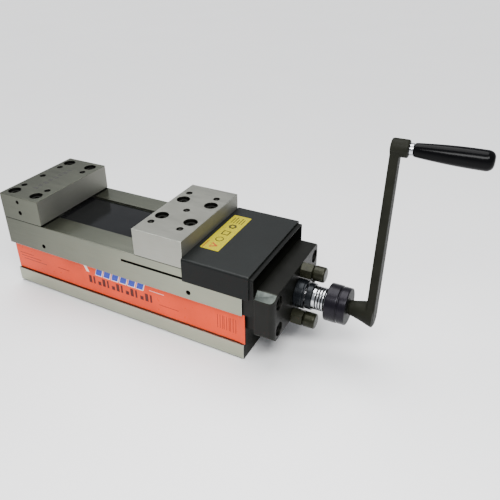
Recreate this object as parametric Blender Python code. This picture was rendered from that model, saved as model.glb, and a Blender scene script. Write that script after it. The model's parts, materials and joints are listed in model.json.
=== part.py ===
"""Power-boosted machine vise: base with two rails, bolted jaws, chip cover, spindle and crank.

Frame: X runs along the spindle towards the crank, Y across the jaws, Z up. The origin lies on the
underside of the base, on the centre line, straight below the fixed jaw's clamping face.
All lengths are in metres.
"""

import math

import bmesh
import bpy
from mathutils import Matrix, Vector

# Driving dimensions of the base and the jaws.
JAW_WIDTH = 0.160
JAW_THICK = 0.081
JAW_HEIGHT = 0.0425
JAW_OPENING = 0.180
RAIL_TOP = 0.1256
BODY_LENGTH = 0.4305
FOOT_TOP = 0.0258
FOOT_INSET = 0.004
GROOVE_TOP = 0.0781
GROOVE_DEPTH = 0.008
CHANNEL_HALF = 0.0423
CHANNEL_FLOOR = 0.034
UNDERCUT_HALF = 0.052
UNDERCUT_LOW = 0.060
UNDERCUT_HIGH = 0.098
SIDE_SLOT = (0.1085, 0.1115, 0.003)
SIDE_SLOT_START = 0.154
BAND_OVERHANG = 0.0015

# Driving dimensions of the spindle line and the crank.
SPINDLE_Z = 0.081
SPINDLE_R = 0.014
RUNNING_GAP = 0.00015
BRACKET_START = 0.367
BRACKET_END = 0.395
BRACKET_NECK_HALF = 0.0695
BRACKET_LOW = 0.048
BRACKET_TOP = 0.1210
BRACKET_CHAMFER = 0.010
BRACKET_SHOULDER_HALF = 0.0775
BRACKET_SHOULDER_LOW = 0.0792
BEARING_POCKET_R = 0.0275
BEARING_POCKET_END = 0.375
COLLAR_R = 0.0200
RING_R = 0.0185
SLEEVE_R = 0.0165
HUB_R = 0.0258
HUB_STEP_R = 0.0252
HUB_START = 0.4400
HUB_STEP = 0.4580
HUB_END = 0.4680
HUB_FLOOR = 0.4540
SLEEVE_START = 0.4203
SLEEVE_END = 0.4425
SLEEVE_PITCH = 0.0038
HEX_SOCKET_FLATS = 0.0170
BOOSTER_STROKE = 0.010
CRANK_REACH = 0.2225
CRANK_LEAN = math.radians(5.7)
ARM_START = 0.4920
ARM_THICK = 0.0108
BOSS_R = 0.0100
BOSS_END = 0.5120
GRIP_START = 0.5175
GRIP_END = 0.6000
FERRULE_R = 0.0072
PIN_R = 0.0045

# Driving dimensions of the cover.
COVER_END = 0.3610
COVER_TOP = 0.1446
COVER_LOW = 0.1092
COVER_HALF = 0.0840
COVER_SHEET = 0.0022

# Fasteners: screw size, head radius, head height and socket width across flats.
CAP_SCREW = dict(shank=0.0050, head=0.0080, height=0.0100, flats=0.0080)
BRACKET_SCREW = dict(shank=0.0060, head=0.0090, height=0.0120, flats=0.0100)
COVER_SCREW = dict(shank=0.0020, head=0.0040, height=0.0024, flats=0.0025)
COUNTERBORE_R = 0.0090
TAPPED_R = 0.0042
TAPPED_DEPTH = 0.020
HOLE_CLEARANCE = 0.0003
GAP = 0.0003

FIXED_SCREW_X = (-0.0655, -0.0183)
FIXED_SCREW_Y = 0.0624
FIXED_TAPPED = (
    (-0.0675, -0.0405), (-0.0675, 0.0), (-0.0675, 0.0405), (-0.0161, -0.0405), (-0.0161, 0.0405),
)
FIXED_SIDE_HOLES = ((-0.0435, 0.1590, 0.0030, 0.012), (-0.0420, 0.1405, 0.0035, 0.012))
MOVING_SCREW_X = (0.0159, 0.0640)
MOVING_SCREW_Y = 0.0283
MOVING_TAPPED = ((0.0125, -0.0506), (0.0125, 0.0506), (0.0396, 0.0), (0.0608, -0.0506), (0.0608, 0.0506))
JAW_SCREW_RECESS = 0.0040
COVER_SCREW_YZ = ((-0.050, 0.135), (0.050, 0.135))
COVER_HOLE_R = 0.0023
BASE_SIDE_HOLES = ((-0.0035, 0.0895, 0.0035, 0.012), (0.2675, 0.0895, 0.0035, 0.012))
KEYWAY_X = (-0.040, 0.300)
KEYWAY_HALF = (0.008, 0.055)
KEYWAY_DEPTH = 0.005
BRACKET_SCREW_YZ = ((-0.062, 0.062), (0.062, 0.062), (-0.0625, 0.104), (0.0625, 0.104))
STUD_OFFSET = 0.0322
STUD_LEAN = math.radians(27)
STUD_R = 0.0108
STUD_END = 0.4290
STUD_SHANK_R = 0.0080
STUD_HOLE_R = 0.0083
NUT_FLATS = 0.0205
NUT_THICK = 0.0165

# Places that follow from the driving dimensions.
HALF = JAW_WIDTH / 2
LEFT = -JAW_THICK
BODY_RIGHT = LEFT + BODY_LENGTH
JAW_TOP = RAIL_TOP + JAW_HEIGHT
MOVING_BACK = JAW_OPENING + JAW_THICK
FOOT_HALF = HALF - FOOT_INSET
GROOVE_HALF = HALF - GROOVE_DEPTH
PLATE_TOP = RAIL_TOP - 0.0030
PLATE_THICK = 0.0015
PLATE_START = -0.0140
SLIDE_START = JAW_OPENING + 0.006
SLIDE_END = 0.336
NUT_BORE_R = 0.0200
COLLAR_START = BRACKET_END + GAP

# Faces round a turned piece and round a hole, and how far a cutter reaches past the face that it opens.
SIDES = 32
HOLE_SIDES = 16
PAST = 0.01

MATERIALS = {
    "ground_steel": ((0.56, 0.57, 0.55), 0.30, 1.0),
    "ground_iron": ((0.48, 0.50, 0.47), 0.38, 1.0),
    "cast_iron": ((0.30, 0.31, 0.30), 0.55, 1.0),
    "black_oxide": ((0.035, 0.035, 0.033), 0.40, 0.7),
    "black_paint": ((0.030, 0.033, 0.036), 0.45, 0.0),
    "crank_black": ((0.045, 0.045, 0.036), 0.60, 0.3),
    "chrome": ((0.75, 0.76, 0.78), 0.12, 1.0),
    "bearing_steel": ((0.60, 0.60, 0.61), 0.22, 1.0),
    "bronze": ((0.60, 0.42, 0.18), 0.35, 1.0),
    "polished_plate": ((0.10, 0.11, 0.12), 0.18, 0.9),
    "orange_band": ((0.82, 0.16, 0.07), 0.45, 0.0),
    "yellow_label": ((0.78, 0.74, 0.12), 0.50, 0.0),
    "grip_plastic": ((0.012, 0.012, 0.013), 0.18, 0.0),
}


def clear_scene():
    for obj in list(bpy.data.objects):
        bpy.data.objects.remove(obj, do_unlink=True)


def material(name):
    """The named finish, made the first time that it is asked for."""
    found = bpy.data.materials.get(name)
    if found:
        return found
    colour, roughness, metallic = MATERIALS[name]
    made = bpy.data.materials.new(name)
    made.use_nodes = True
    shader = made.node_tree.nodes["Principled BSDF"]
    shader.inputs["Base Color"].default_value = (*colour, 1.0)
    shader.inputs["Roughness"].default_value = roughness
    shader.inputs["Metallic"].default_value = metallic
    return made


def add_object(name, bm, finish, frame=None):
    """Turns a bmesh in world places into an object. A frame is the empty that carries a moving piece."""
    bmesh.ops.recalc_face_normals(bm, faces=bm.faces)
    mesh = bpy.data.meshes.new(name)
    bm.to_mesh(mesh)
    bm.free()
    mesh.shade_smooth()
    mesh.set_sharp_from_angle(angle=math.radians(35))
    mesh.materials.append(material(finish))
    obj = bpy.data.objects.new(name, mesh)
    bpy.context.collection.objects.link(obj)
    if frame:
        obj.parent = frame
        obj.location = -frame.location
    return obj


def add_frame(name, place):
    empty = bpy.data.objects.new(name, None)
    empty.location = place
    bpy.context.collection.objects.link(empty)
    return empty


def prism_mesh(outline, start, end):
    """A closed outline of (y, z) points, extruded along X."""
    bm = bmesh.new()
    face = bm.faces.new([bm.verts.new((start, y, z)) for y, z in outline])
    moved = bmesh.ops.extrude_face_region(bm, geom=[face])
    tips = [v for v in moved["geom"] if isinstance(v, bmesh.types.BMVert)]
    bmesh.ops.translate(bm, verts=tips, vec=(end - start, 0, 0))
    return bm


def box_mesh(low, high):
    outline = ((low[1], low[2]), (high[1], low[2]), (high[1], high[2]), (low[1], high[2]))
    return prism_mesh(outline, low[0], high[0])


def turned_mesh(profile, centre=(0.0, 0.0), sides=SIDES):
    """A profile of (x, radius) points spun about an X line through centre (y, z).

    A profile that starts off the axis is closed on itself, and nothing is spun from a stretch on the axis.
    """
    bm = bmesh.new()
    points = [bm.verts.new((x, radius, 0)) for x, radius in profile]
    follow = points[1:] + points[:1] if profile[0][1] > 0 else points[1:]
    edges = [bm.edges.new((a, b)) for a, b in zip(points, follow) if a.co.y > 0 or b.co.y > 0]
    bmesh.ops.spin(bm, geom=points + edges, axis=(1, 0, 0), cent=(0, 0, 0), angle=math.tau, steps=sides,
                   use_merge=True)
    bmesh.ops.remove_doubles(bm, verts=bm.verts, dist=1e-6)
    bmesh.ops.translate(bm, verts=bm.verts, vec=(0, centre[0], centre[1]))
    return bm


def rod_mesh(start, end, radius, centre, sides=20):
    return turned_mesh(((start, 0), (start, radius), (end, radius), (end, 0)), centre, sides)


def hexagon_mesh(start, end, flats, centre, turn=0.0):
    radius = flats / 2 / math.cos(math.pi / 6)
    angles = [turn + math.tau * i / 6 for i in range(6)]
    outline = [(centre[0] + radius * math.cos(a), centre[1] + radius * math.sin(a)) for a in angles]
    return prism_mesh(outline, start, end)


def upright(bm, x, y):
    """Turns a shape made along X so that it stands along Z at (x, y)."""
    turn = Matrix.Translation(Vector((x, y, 0))) @ Matrix.Rotation(-math.pi / 2, 4, "Y")
    bmesh.ops.transform(bm, matrix=turn, verts=bm.verts)
    return bm


def merged(meshes):
    """Several separate shapes in one bmesh, for a cutter."""
    whole = bmesh.new()
    for bm in meshes:
        part = bpy.data.meshes.new("part")
        bm.to_mesh(part)
        bm.free()
        whole.from_mesh(part)
        bpy.data.meshes.remove(part)
    return whole


def change(obj, operation, name, bm):
    """Cuts a shape from an object, or joins one to it, with a Boolean that stays on the object."""
    helper = add_object(name, bm, "cast_iron")
    helper.hide_render = True
    helper.display_type = "WIRE"
    step = obj.modifiers.new(name, "BOOLEAN")
    step.operation = operation
    step.solver = "EXACT"
    step.object = helper


def cut(obj, name, *meshes):
    change(obj, "DIFFERENCE", name, merged(meshes))


def join(obj, name, bm):
    change(obj, "UNION", name, bm)


def mirrored(outline):
    """The right half of an outline, from bottom to top, and its mirror image."""
    return list(outline) + [(-y, z) for y, z in reversed(outline)]


def add_cap_screw(name, size, head_end, length, place, frame=None, finish="black_oxide", standing=True):
    """A socket-head screw whose head ends at head_end, along Z at (x, y), or along X at (y, z)."""
    under = head_end - size["height"]
    head = size["head"]
    chamfer = 0.0006
    profile = ((under - length, 0), (under - length, size["shank"]), (under, size["shank"]), (under, head),
               (head_end - chamfer, head), (head_end, head - chamfer), (head_end, 0))
    centre = (0.0, 0.0) if standing else place
    body = turned_mesh(profile, centre, HOLE_SIDES)
    socket = hexagon_mesh(head_end - size["height"] / 2, head_end + 0.001, size["flats"], centre)
    if standing:
        upright(body, *place)
        upright(socket, *place)
    screw = add_object(name, body, finish, frame)
    cut(screw, name + "_socket", socket)
    return screw


def standing_hole(x, y, low, high, radius, sides=HOLE_SIDES):
    return upright(rod_mesh(low, high, radius, (0.0, 0.0), sides), x, y)


def stepped_hole(start, seat, end, narrow, wide, centre=(0.0, 0.0), sides=HOLE_SIDES):
    """A clearance hole that opens into a counterbore at seat."""
    profile = ((start, 0), (start, narrow), (seat, narrow), (seat, wide), (end, wide), (end, 0))
    return turned_mesh(profile, centre, sides)


def jaw_holes(screws, tapped, front):
    """Counterbored screw holes and blind tapped holes, seen from the top of a jaw."""
    narrow = CAP_SCREW["shank"] + HOLE_CLEARANCE
    seat = JAW_TOP - JAW_SCREW_RECESS - CAP_SCREW["height"] - 0.0005
    end = JAW_TOP + PAST
    holes = [upright(stepped_hole(RAIL_TOP - PAST, seat, end, narrow, COUNTERBORE_R), x, y) for x, y in screws]
    holes += [standing_hole(front + x, y, JAW_TOP - TAPPED_DEPTH, end, TAPPED_R) for x, y in tapped]
    return holes


def side_holes(places, side):
    """Blind holes (x, z, radius, depth) drilled into one side of the vise."""
    found = []
    for x, z, radius, depth in places:
        bm = rod_mesh(HALF - depth, HALF + PAST, radius, (0.0, 0.0), 12)
        turn = Matrix.Translation(Vector((x, 0, z))) @ Matrix.Rotation(side * math.pi / 2, 4, "Z")
        bmesh.ops.transform(bm, matrix=turn, verts=bm.verts)
        found.append(bm)
    return found


def fixed_screw_places():
    return [(x, side * FIXED_SCREW_Y) for x in FIXED_SCREW_X for side in (-1, 1)]


def moving_screw_places():
    return [(JAW_OPENING + x, side * MOVING_SCREW_Y) for x in MOVING_SCREW_X for side in (-1, 1)]


def add_base():
    """The cast base: foot, clamp grooves along both sides, two rails and the channel for the slide."""
    outline = mirrored((
        (FOOT_HALF - 0.0025, 0.0), (FOOT_HALF, 0.0025), (FOOT_HALF, FOOT_TOP), (GROOVE_HALF, FOOT_TOP),
        (GROOVE_HALF, GROOVE_TOP), (HALF, GROOVE_TOP), (HALF, RAIL_TOP), (CHANNEL_HALF, RAIL_TOP),
        (CHANNEL_HALF, UNDERCUT_HIGH), (UNDERCUT_HALF, UNDERCUT_HIGH), (UNDERCUT_HALF, UNDERCUT_LOW),
        (CHANNEL_HALF, UNDERCUT_LOW), (CHANNEL_HALF, CHANNEL_FLOOR),
    ))
    base = add_object("base_casting", prism_mesh(outline, LEFT, BODY_RIGHT), "ground_iron")
    screw = CAP_SCREW["shank"] + HOLE_CLEARANCE
    cut(base, "base_jaw_holes", *[standing_hole(x, y, RAIL_TOP - 0.027, RAIL_TOP + PAST, screw)
                                  for x, y in fixed_screw_places()])
    screw = BRACKET_SCREW["shank"] + HOLE_CLEARANCE
    cut(base, "base_bracket_holes", *[rod_mesh(BODY_RIGHT - 0.018, BODY_RIGHT + PAST, screw, place, HOLE_SIDES)
                                      for place in BRACKET_SCREW_YZ])
    low, high, depth = SIDE_SLOT
    slots = []
    for side in (-1, 1):
        near, far = sorted((side * (HALF - depth), side * (HALF + PAST)))
        slots.append(box_mesh((SIDE_SLOT_START, near, low), (BODY_RIGHT + PAST, far, high)))
    cut(base, "base_side_slots", *slots)
    cut(base, "base_side_holes", *side_holes(BASE_SIDE_HOLES, -1), *side_holes(BASE_SIDE_HOLES, 1))
    along, across = KEYWAY_HALF
    keyways = [box_mesh((x - along, -across, -PAST), (x + along, across, KEYWAY_DEPTH)) for x in KEYWAY_X]
    cut(base, "base_keyways", *keyways)


def add_side_bands():
    for name, side in (("side_band_near", -1), ("side_band_far", 1)):
        faces = sorted((side * (GROOVE_HALF + GAP), side * (GROOVE_HALF + GAP + 0.0010)))
        add_object(name, box_mesh((LEFT + 0.001, faces[0], FOOT_TOP + 0.0012),
                                  (BODY_RIGHT + BAND_OVERHANG, faces[1], GROOVE_TOP - 0.0008)), "orange_band")


def add_fixed_jaw():
    block = box_mesh((LEFT, -HALF, RAIL_TOP + GAP), (0.0, HALF, JAW_TOP))
    jaw = add_object("fixed_jaw", block, "ground_steel")
    cut(jaw, "fixed_jaw_holes", *jaw_holes(fixed_screw_places(), FIXED_TAPPED, 0.0))
    cut(jaw, "fixed_jaw_side_holes", *side_holes(FIXED_SIDE_HOLES, -1), *side_holes(FIXED_SIDE_HOLES, 1))
    for i, place in enumerate(fixed_screw_places()):
        add_cap_screw(f"fixed_jaw_screw_{i + 1}", CAP_SCREW, JAW_TOP - JAW_SCREW_RECESS, 0.050, place)


def add_moving_jaw(frame):
    block = box_mesh((JAW_OPENING, -HALF, RAIL_TOP + GAP), (MOVING_BACK, HALF, JAW_TOP))
    jaw = add_object("movable_jaw", block, "ground_steel", frame)
    cut(jaw, "movable_jaw_holes", *jaw_holes(moving_screw_places(), MOVING_TAPPED, JAW_OPENING))
    start, end = MOVING_BACK - 0.010, MOVING_BACK + PAST
    holes = [rod_mesh(start, end, COVER_HOLE_R, place, 12) for place in COVER_SCREW_YZ]
    cut(jaw, "movable_jaw_cover_holes", *holes)
    for i, place in enumerate(moving_screw_places()):
        add_cap_screw(f"movable_jaw_screw_{i + 1}", CAP_SCREW, JAW_TOP - JAW_SCREW_RECESS, 0.045, place, frame)


def add_slide(frame):
    """The T-shaped carrier under the movable jaw, its bronze nut, and the plate that shields the channel."""
    top = RAIL_TOP - GAP
    inside = CHANNEL_HALF - GAP
    wide = UNDERCUT_HALF - GAP
    outline = mirrored((
        (inside, CHANNEL_FLOOR + 0.012), (inside, UNDERCUT_LOW + GAP), (wide, UNDERCUT_LOW + GAP),
        (wide, UNDERCUT_HIGH - GAP), (inside, UNDERCUT_HIGH - GAP), (inside, top),
    ))
    slide = add_object("jaw_slide", prism_mesh(outline, SLIDE_START, SLIDE_END), "cast_iron", frame)
    axis = (0.0, SPINDLE_Z)
    cut(slide, "slide_bore", rod_mesh(SLIDE_START - PAST, SLIDE_END + PAST, NUT_BORE_R, axis, SIDES))
    cut(slide, "slide_jaw_holes", *[standing_hole(x, y, RAIL_TOP - 0.032, RAIL_TOP + PAST,
                                                  CAP_SCREW["shank"] + HOLE_CLEARANCE)
                                    for x, y in moving_screw_places()])
    bore = SPINDLE_R + RUNNING_GAP
    body = NUT_BORE_R - 0.0001
    start, flange, end, wide = 0.290, SLIDE_END + GAP, 0.344, 0.026
    nut = ((start, bore), (start, body), (flange, body), (flange, wide), (end, wide), (end, bore))
    add_object("spindle_nut", turned_mesh(nut, axis), "bronze", frame)
    plate_half = CHANNEL_HALF - 0.0004
    plate = box_mesh((PLATE_START, -plate_half, PLATE_TOP - PLATE_THICK), (SLIDE_START - GAP, plate_half, PLATE_TOP))
    add_object("way_cover_plate", plate, "polished_plate", frame)


def add_cover(frame):
    """The folded chip cover behind the movable jaw, its screws and the label on its top."""
    start = MOVING_BACK + GAP
    sheet = COVER_SHEET
    fold = 0.0025
    outline = mirrored((
        (COVER_HALF - sheet, COVER_LOW), (COVER_HALF, COVER_LOW), (COVER_HALF, COVER_TOP - fold),
        (COVER_HALF - fold, COVER_TOP),
    )) + [(-COVER_HALF + sheet, COVER_TOP - sheet), (COVER_HALF - sheet, COVER_TOP - sheet)]
    cover = add_object("chip_cover", prism_mesh(outline, start, COVER_END), "black_paint", frame)
    flange = box_mesh((start, -COVER_HALF + 0.001, RAIL_TOP + 0.0012),
                      (start + sheet, COVER_HALF - 0.001, COVER_TOP - 0.001))
    join(cover, "cover_flange", flange)
    cut(cover, "cover_holes", *[rod_mesh(start - PAST, start + PAST, COVER_HOLE_R, place, 12)
                                for place in COVER_SCREW_YZ])
    for i, place in enumerate(COVER_SCREW_YZ):
        end = start + sheet + GAP + COVER_SCREW["height"]
        add_cap_screw(f"cover_screw_{i + 1}", COVER_SCREW, end, 0.009, place, frame, standing=False)
    label = box_mesh((0.2685, -0.0462, COVER_TOP + 0.0001), (0.2970, 0.0562, COVER_TOP + 0.0005))
    add_object("cover_label", label, "yellow_label", frame)


def add_bracket():
    """The rear bracket that takes the spindle's thrust: a full-width plate on a stepped neck."""
    start = BODY_RIGHT + GAP
    outline = mirrored((
        (HALF - 0.008, BRACKET_LOW), (HALF, BRACKET_LOW + 0.008), (HALF, BRACKET_TOP - BRACKET_CHAMFER),
        (HALF - BRACKET_CHAMFER, BRACKET_TOP),
    ))
    bracket = add_object("rear_bracket", prism_mesh(outline, BRACKET_START, BRACKET_END), "black_oxide")
    neck_end = BRACKET_START + 0.001
    neck_top = BRACKET_TOP - 0.007
    join(bracket, "bracket_neck", box_mesh((start, -BRACKET_NECK_HALF, BRACKET_LOW + 0.004),
                                           (neck_end, BRACKET_NECK_HALF, neck_top)))
    join(bracket, "bracket_shoulders", box_mesh((start, -BRACKET_SHOULDER_HALF, BRACKET_SHOULDER_LOW),
                                                (neck_end, BRACKET_SHOULDER_HALF, neck_top)))
    pocket = stepped_hole(-BRACKET_END - PAST, -BEARING_POCKET_END, -start + PAST, SPINDLE_R + RUNNING_GAP,
                          BEARING_POCKET_R, sides=SIDES)
    bmesh.ops.rotate(pocket, verts=pocket.verts, cent=(0, 0, 0), matrix=Matrix.Rotation(math.pi, 3, "Z"))
    bmesh.ops.translate(pocket, verts=pocket.verts, vec=(0, 0, SPINDLE_Z))
    cut(bracket, "bracket_bore", pocket)
    screw = BRACKET_SCREW["shank"] + HOLE_CLEARANCE
    seat = BRACKET_END - BRACKET_SCREW["height"] - 0.003
    wide = BRACKET_SCREW["head"] + 0.0008
    holes = [stepped_hole(start - PAST, seat - GAP, BRACKET_END + PAST, screw, wide, place)
             for place in BRACKET_SCREW_YZ]
    cut(bracket, "bracket_screw_holes", *holes)
    bottom = BRACKET_END - 0.020
    holes = [rod_mesh(bottom, BRACKET_END + PAST, STUD_HOLE_R, place, 20) for place in stud_places()]
    cut(bracket, "bracket_stud_holes", *holes)
    head_end = seat + BRACKET_SCREW["height"]
    for i, place in enumerate(BRACKET_SCREW_YZ):
        add_cap_screw(f"bracket_screw_{i + 1}", BRACKET_SCREW, head_end, 0.043, place, standing=False)


def stud_places():
    """The two stud centres, on one slanted line through the spindle's axis."""
    across = STUD_OFFSET * math.sin(STUD_LEAN)
    up = STUD_OFFSET * math.cos(STUD_LEAN)
    return [(side * across, SPINDLE_Z + side * up) for side in (1, -1)]


def add_studs():
    """Two studs with hex nuts that hold the bearing housing against the bracket."""
    nut_start = BRACKET_END + GAP
    nut_end = nut_start + NUT_THICK
    stud_start = BRACKET_END - 0.019
    step = nut_end + 0.001
    chamfer = 0.0025
    for name, place in zip(("upper", "lower"), stud_places()):
        profile = ((stud_start, 0), (stud_start, STUD_SHANK_R), (step, STUD_SHANK_R), (step, STUD_R),
                   (STUD_END - chamfer, STUD_R), (STUD_END, STUD_R - chamfer), (STUD_END, 0))
        add_object(f"stud_{name}", turned_mesh(profile, place, 24), "black_oxide")
        body = hexagon_mesh(nut_start, nut_end, NUT_FLATS, place, STUD_LEAN)
        nut = add_object(f"stud_nut_{name}", body, "black_oxide")
        cut(nut, f"stud_nut_{name}_bore", rod_mesh(nut_start - PAST, nut_end + PAST, STUD_HOLE_R, place, 20))


def add_bearings(frame):
    """The thrust bearing in the bracket's pocket and the collar outside it. The front race turns."""
    axis = (0.0, SPINDLE_Z)
    bore = SPINDLE_R + RUNNING_GAP
    rings = (
        ("thrust_race_front", 0.3583, 0.3613, 0.0245, 0.0146, frame),
        ("thrust_cage", 0.3616, 0.3690, 0.0235, 0.0155, None),
        ("thrust_race_rear", 0.3693, 0.3747, 0.0272, bore, None),
    )
    for name, start, end, outer, inner, owner in rings:
        profile = ((start, inner), (start, outer), (end, outer), (end, inner))
        add_object(name, turned_mesh(profile, axis), "bearing_steel", owner)
    end = 0.4100
    chamfer = 0.001
    profile = ((COLLAR_START, bore), (COLLAR_START, COLLAR_R), (end - chamfer, COLLAR_R),
               (end, COLLAR_R - chamfer), (end, bore))
    add_object("bearing_collar", turned_mesh(profile, axis, SIDES), "black_oxide")


def add_spindle(frame):
    """The spindle with its thrust shoulder, and the force sleeve on its end."""
    axis = (0.0, SPINDLE_Z)
    start, shoulder, shoulder_end, end = 0.095, 0.3520, 0.3580, 0.4200
    shoulder_r = 0.0200
    profile = ((start, 0), (start, SPINDLE_R - 0.0015), (start + 0.002, SPINDLE_R), (shoulder, SPINDLE_R),
               (shoulder, shoulder_r), (shoulder_end, shoulder_r), (shoulder_end, SPINDLE_R), (end, SPINDLE_R),
               (end, 0))
    add_object("spindle_screw", turned_mesh(profile, axis), "bearing_steel", frame)
    bore = 0.0082
    sleeve = [(SLEEVE_START, bore), (SLEEVE_START, SLEEVE_R)]
    for i in range(4):
        groove = SLEEVE_START + 0.0042 + SLEEVE_PITCH * i
        sleeve += [(groove, SLEEVE_R), (groove + 0.0007, SLEEVE_R - 0.0012), (groove + 0.0014, SLEEVE_R)]
    sleeve += [(SLEEVE_END, SLEEVE_R), (SLEEVE_END, bore)]
    add_object("force_sleeve", turned_mesh(sleeve, axis, 28), "chrome", frame)


def add_booster(ring_frame, hub_frame):
    """The detent ring turns with the hub, and the hub also moves in along its fine thread."""
    axis = (0.0, SPINDLE_Z)
    bore = SPINDLE_R + RUNNING_GAP
    start, end = 0.4118, 0.4195
    chamfer = 0.001
    ring = ((start, bore), (start, RING_R), (end - chamfer, RING_R), (end, RING_R - chamfer), (end, bore))
    add_object("detent_ring", turned_mesh(ring, axis, SIDES), "black_oxide", ring_frame)
    pocket = SLEEVE_R + 0.0003
    chamfer = 0.0015
    groove = HUB_STEP - 0.0016
    groove_r = HUB_R - 0.0016
    hub = ((HUB_START, pocket), (HUB_START, HUB_R - chamfer), (HUB_START + chamfer, HUB_R),
           (groove - 0.0008, HUB_R), (groove, groove_r), (HUB_STEP - 0.0006, groove_r), (HUB_STEP, HUB_STEP_R),
           (HUB_END - chamfer, HUB_STEP_R), (HUB_END, HUB_STEP_R - chamfer), (HUB_END, 0), (HUB_FLOOR, 0),
           (HUB_FLOOR, pocket))
    drive = add_object("drive_hub", turned_mesh(hub, axis, 40), "black_oxide", hub_frame)
    cut(drive, "hub_socket", hexagon_mesh(HUB_FLOOR + 0.002, HUB_END + PAST, HEX_SOCKET_FLATS, axis))
    start, end, radius = 0.4310, HUB_FLOOR - GAP, 0.0080
    rod = ((start, 0), (start, radius - chamfer), (start + chamfer, radius), (end, radius), (end, 0))
    add_object("booster_rod", turned_mesh(rod, axis, 24), "bearing_steel", hub_frame)


def crank_top():
    """The (y, z) place of the handle's axis."""
    return (CRANK_REACH * math.sin(CRANK_LEAN), SPINDLE_Z + CRANK_REACH * math.cos(CRANK_LEAN))


def arm_outline():
    """The arm seen along X: a tapered bar with round ends, leaning with the crank."""
    low_r = 0.0130
    high_r = 0.0088
    up = Vector((math.sin(CRANK_LEAN), math.cos(CRANK_LEAN)))
    side = Vector((up.y, -up.x))
    foot = Vector((0.0, SPINDLE_Z)) - up * 0.004
    top = Vector(crank_top())
    points = []
    for centre, radius, turn in ((foot, low_r, math.pi), (top, high_r, 0.0)):
        for i in range(9):
            angle = turn + math.pi * i / 8
            points.append(centre + side * (radius * math.cos(angle)) + up * (radius * math.sin(angle)))
    return [(point.x, point.y) for point in points]


def add_crank(frame):
    """The forged crank: hex tail, flared neck, tapered arm and the boss for the handle."""
    axis = (0.0, SPINDLE_Z)
    arm_end = ARM_START + ARM_THICK
    neck_start = HUB_END + 0.0006
    neck = ((neck_start, 0), (neck_start, 0.0100), (0.4740, 0.0105), (0.4860, 0.0135),
            (arm_end - 0.002, 0.0180), (arm_end - 0.001, 0.0175), (arm_end - 0.001, 0))
    crank = add_object("crank_arm", turned_mesh(neck, axis, 28), "crank_black", frame)
    tail_start = HUB_FLOOR + 0.003
    join(crank, "crank_tail", hexagon_mesh(tail_start, HUB_END + 0.004, HEX_SOCKET_FLATS - 0.0005, axis))
    join(crank, "crank_bar", prism_mesh(arm_outline(), ARM_START, arm_end))
    boss_start = ARM_START - 0.0005
    boss = ((boss_start, 0), (boss_start, BOSS_R - 0.0015), (boss_start + 0.0015, BOSS_R),
            (BOSS_END - 0.001, BOSS_R), (BOSS_END, BOSS_R - 0.001), (BOSS_END, 0))
    join(crank, "crank_boss", turned_mesh(boss, crank_top(), 24))


def add_handle(crank_frame, grip_frame):
    """The pin with its ferrule stays on the crank, and the grip turns on it."""
    place = crank_top()
    start, shoulder, end = BOSS_END + GAP, GRIP_START - 0.0005, 0.5850
    pin = ((start, 0), (start, FERRULE_R), (shoulder, FERRULE_R), (shoulder, PIN_R), (end, PIN_R), (end, 0))
    add_object("handle_pin", turned_mesh(pin, place, 24), "chrome", crank_frame)
    bore = PIN_R + RUNNING_GAP
    length = GRIP_END - GRIP_START
    grip = [(GRIP_START, bore), (GRIP_START, 0.0078), (GRIP_START + 0.001, 0.0084)]
    swell = ((0.25, 0.0098), (0.55, 0.0113), (0.80, 0.0116))
    grip += [(GRIP_START + length * share, radius) for share, radius in swell]
    cap = 0.008
    for i in range(5):
        angle = math.pi / 2 * i / 4
        grip.append((GRIP_END - cap + cap * math.sin(angle), 0.0026 + 0.0088 * math.cos(angle)))
    bore_end = end + 0.003
    grip += [(GRIP_END, 0), (bore_end, 0), (bore_end, bore)]
    add_object("handle_grip", turned_mesh(grip, place, 28), "grip_plastic", grip_frame)


def main():
    clear_scene()
    axis_place = (HUB_START, 0.0, SPINDLE_Z)
    slide_frame = add_frame("slide_frame", (JAW_OPENING, 0.0, RAIL_TOP))
    spindle_frame = add_frame("spindle_frame", axis_place)
    ring_frame = add_frame("ring_frame", axis_place)
    hub_frame = add_frame("hub_frame", axis_place)
    crank_frame = add_frame("crank_frame", axis_place)
    grip_frame = add_frame("grip_frame", (GRIP_START, *crank_top()))
    add_base()
    add_side_bands()
    add_fixed_jaw()
    add_moving_jaw(slide_frame)
    add_slide(slide_frame)
    add_cover(slide_frame)
    add_bracket()
    add_studs()
    add_bearings(spindle_frame)
    add_spindle(spindle_frame)
    add_booster(ring_frame, hub_frame)
    add_crank(crank_frame)
    add_handle(crank_frame, grip_frame)


main()
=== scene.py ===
"""Machine vise: the finished surface of every piece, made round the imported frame.

The frame gives each piece its place. X runs along the spindle towards the crank, Y across the jaws,
Z up, and all lengths are in metres. Each operator makes one piece, or one group of like pieces.
"""

import json
import math
from typing import NamedTuple

import bmesh
import bpy
from bpy.props import FloatProperty, FloatVectorProperty, IntProperty, PointerProperty
from mathutils import Matrix, Vector, noise


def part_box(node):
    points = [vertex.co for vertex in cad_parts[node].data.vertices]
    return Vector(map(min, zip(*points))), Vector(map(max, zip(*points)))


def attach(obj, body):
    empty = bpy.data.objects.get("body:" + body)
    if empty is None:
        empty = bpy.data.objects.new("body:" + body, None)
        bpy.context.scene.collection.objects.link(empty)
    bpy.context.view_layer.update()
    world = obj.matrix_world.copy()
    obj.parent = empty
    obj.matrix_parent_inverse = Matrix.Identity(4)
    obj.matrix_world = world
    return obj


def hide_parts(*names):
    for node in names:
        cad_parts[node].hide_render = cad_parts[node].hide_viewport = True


bl_info = {
    "name": "Machine Vise",
    "version": (1, 0, 0),
    "blender": (4, 5, 0),
    "location": "View3D > Sidebar > Vise",
    "description": "Makes the finished pieces of a machine vise round its frame, and a plain studio",
    "category": "Add Mesh",
}

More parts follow.
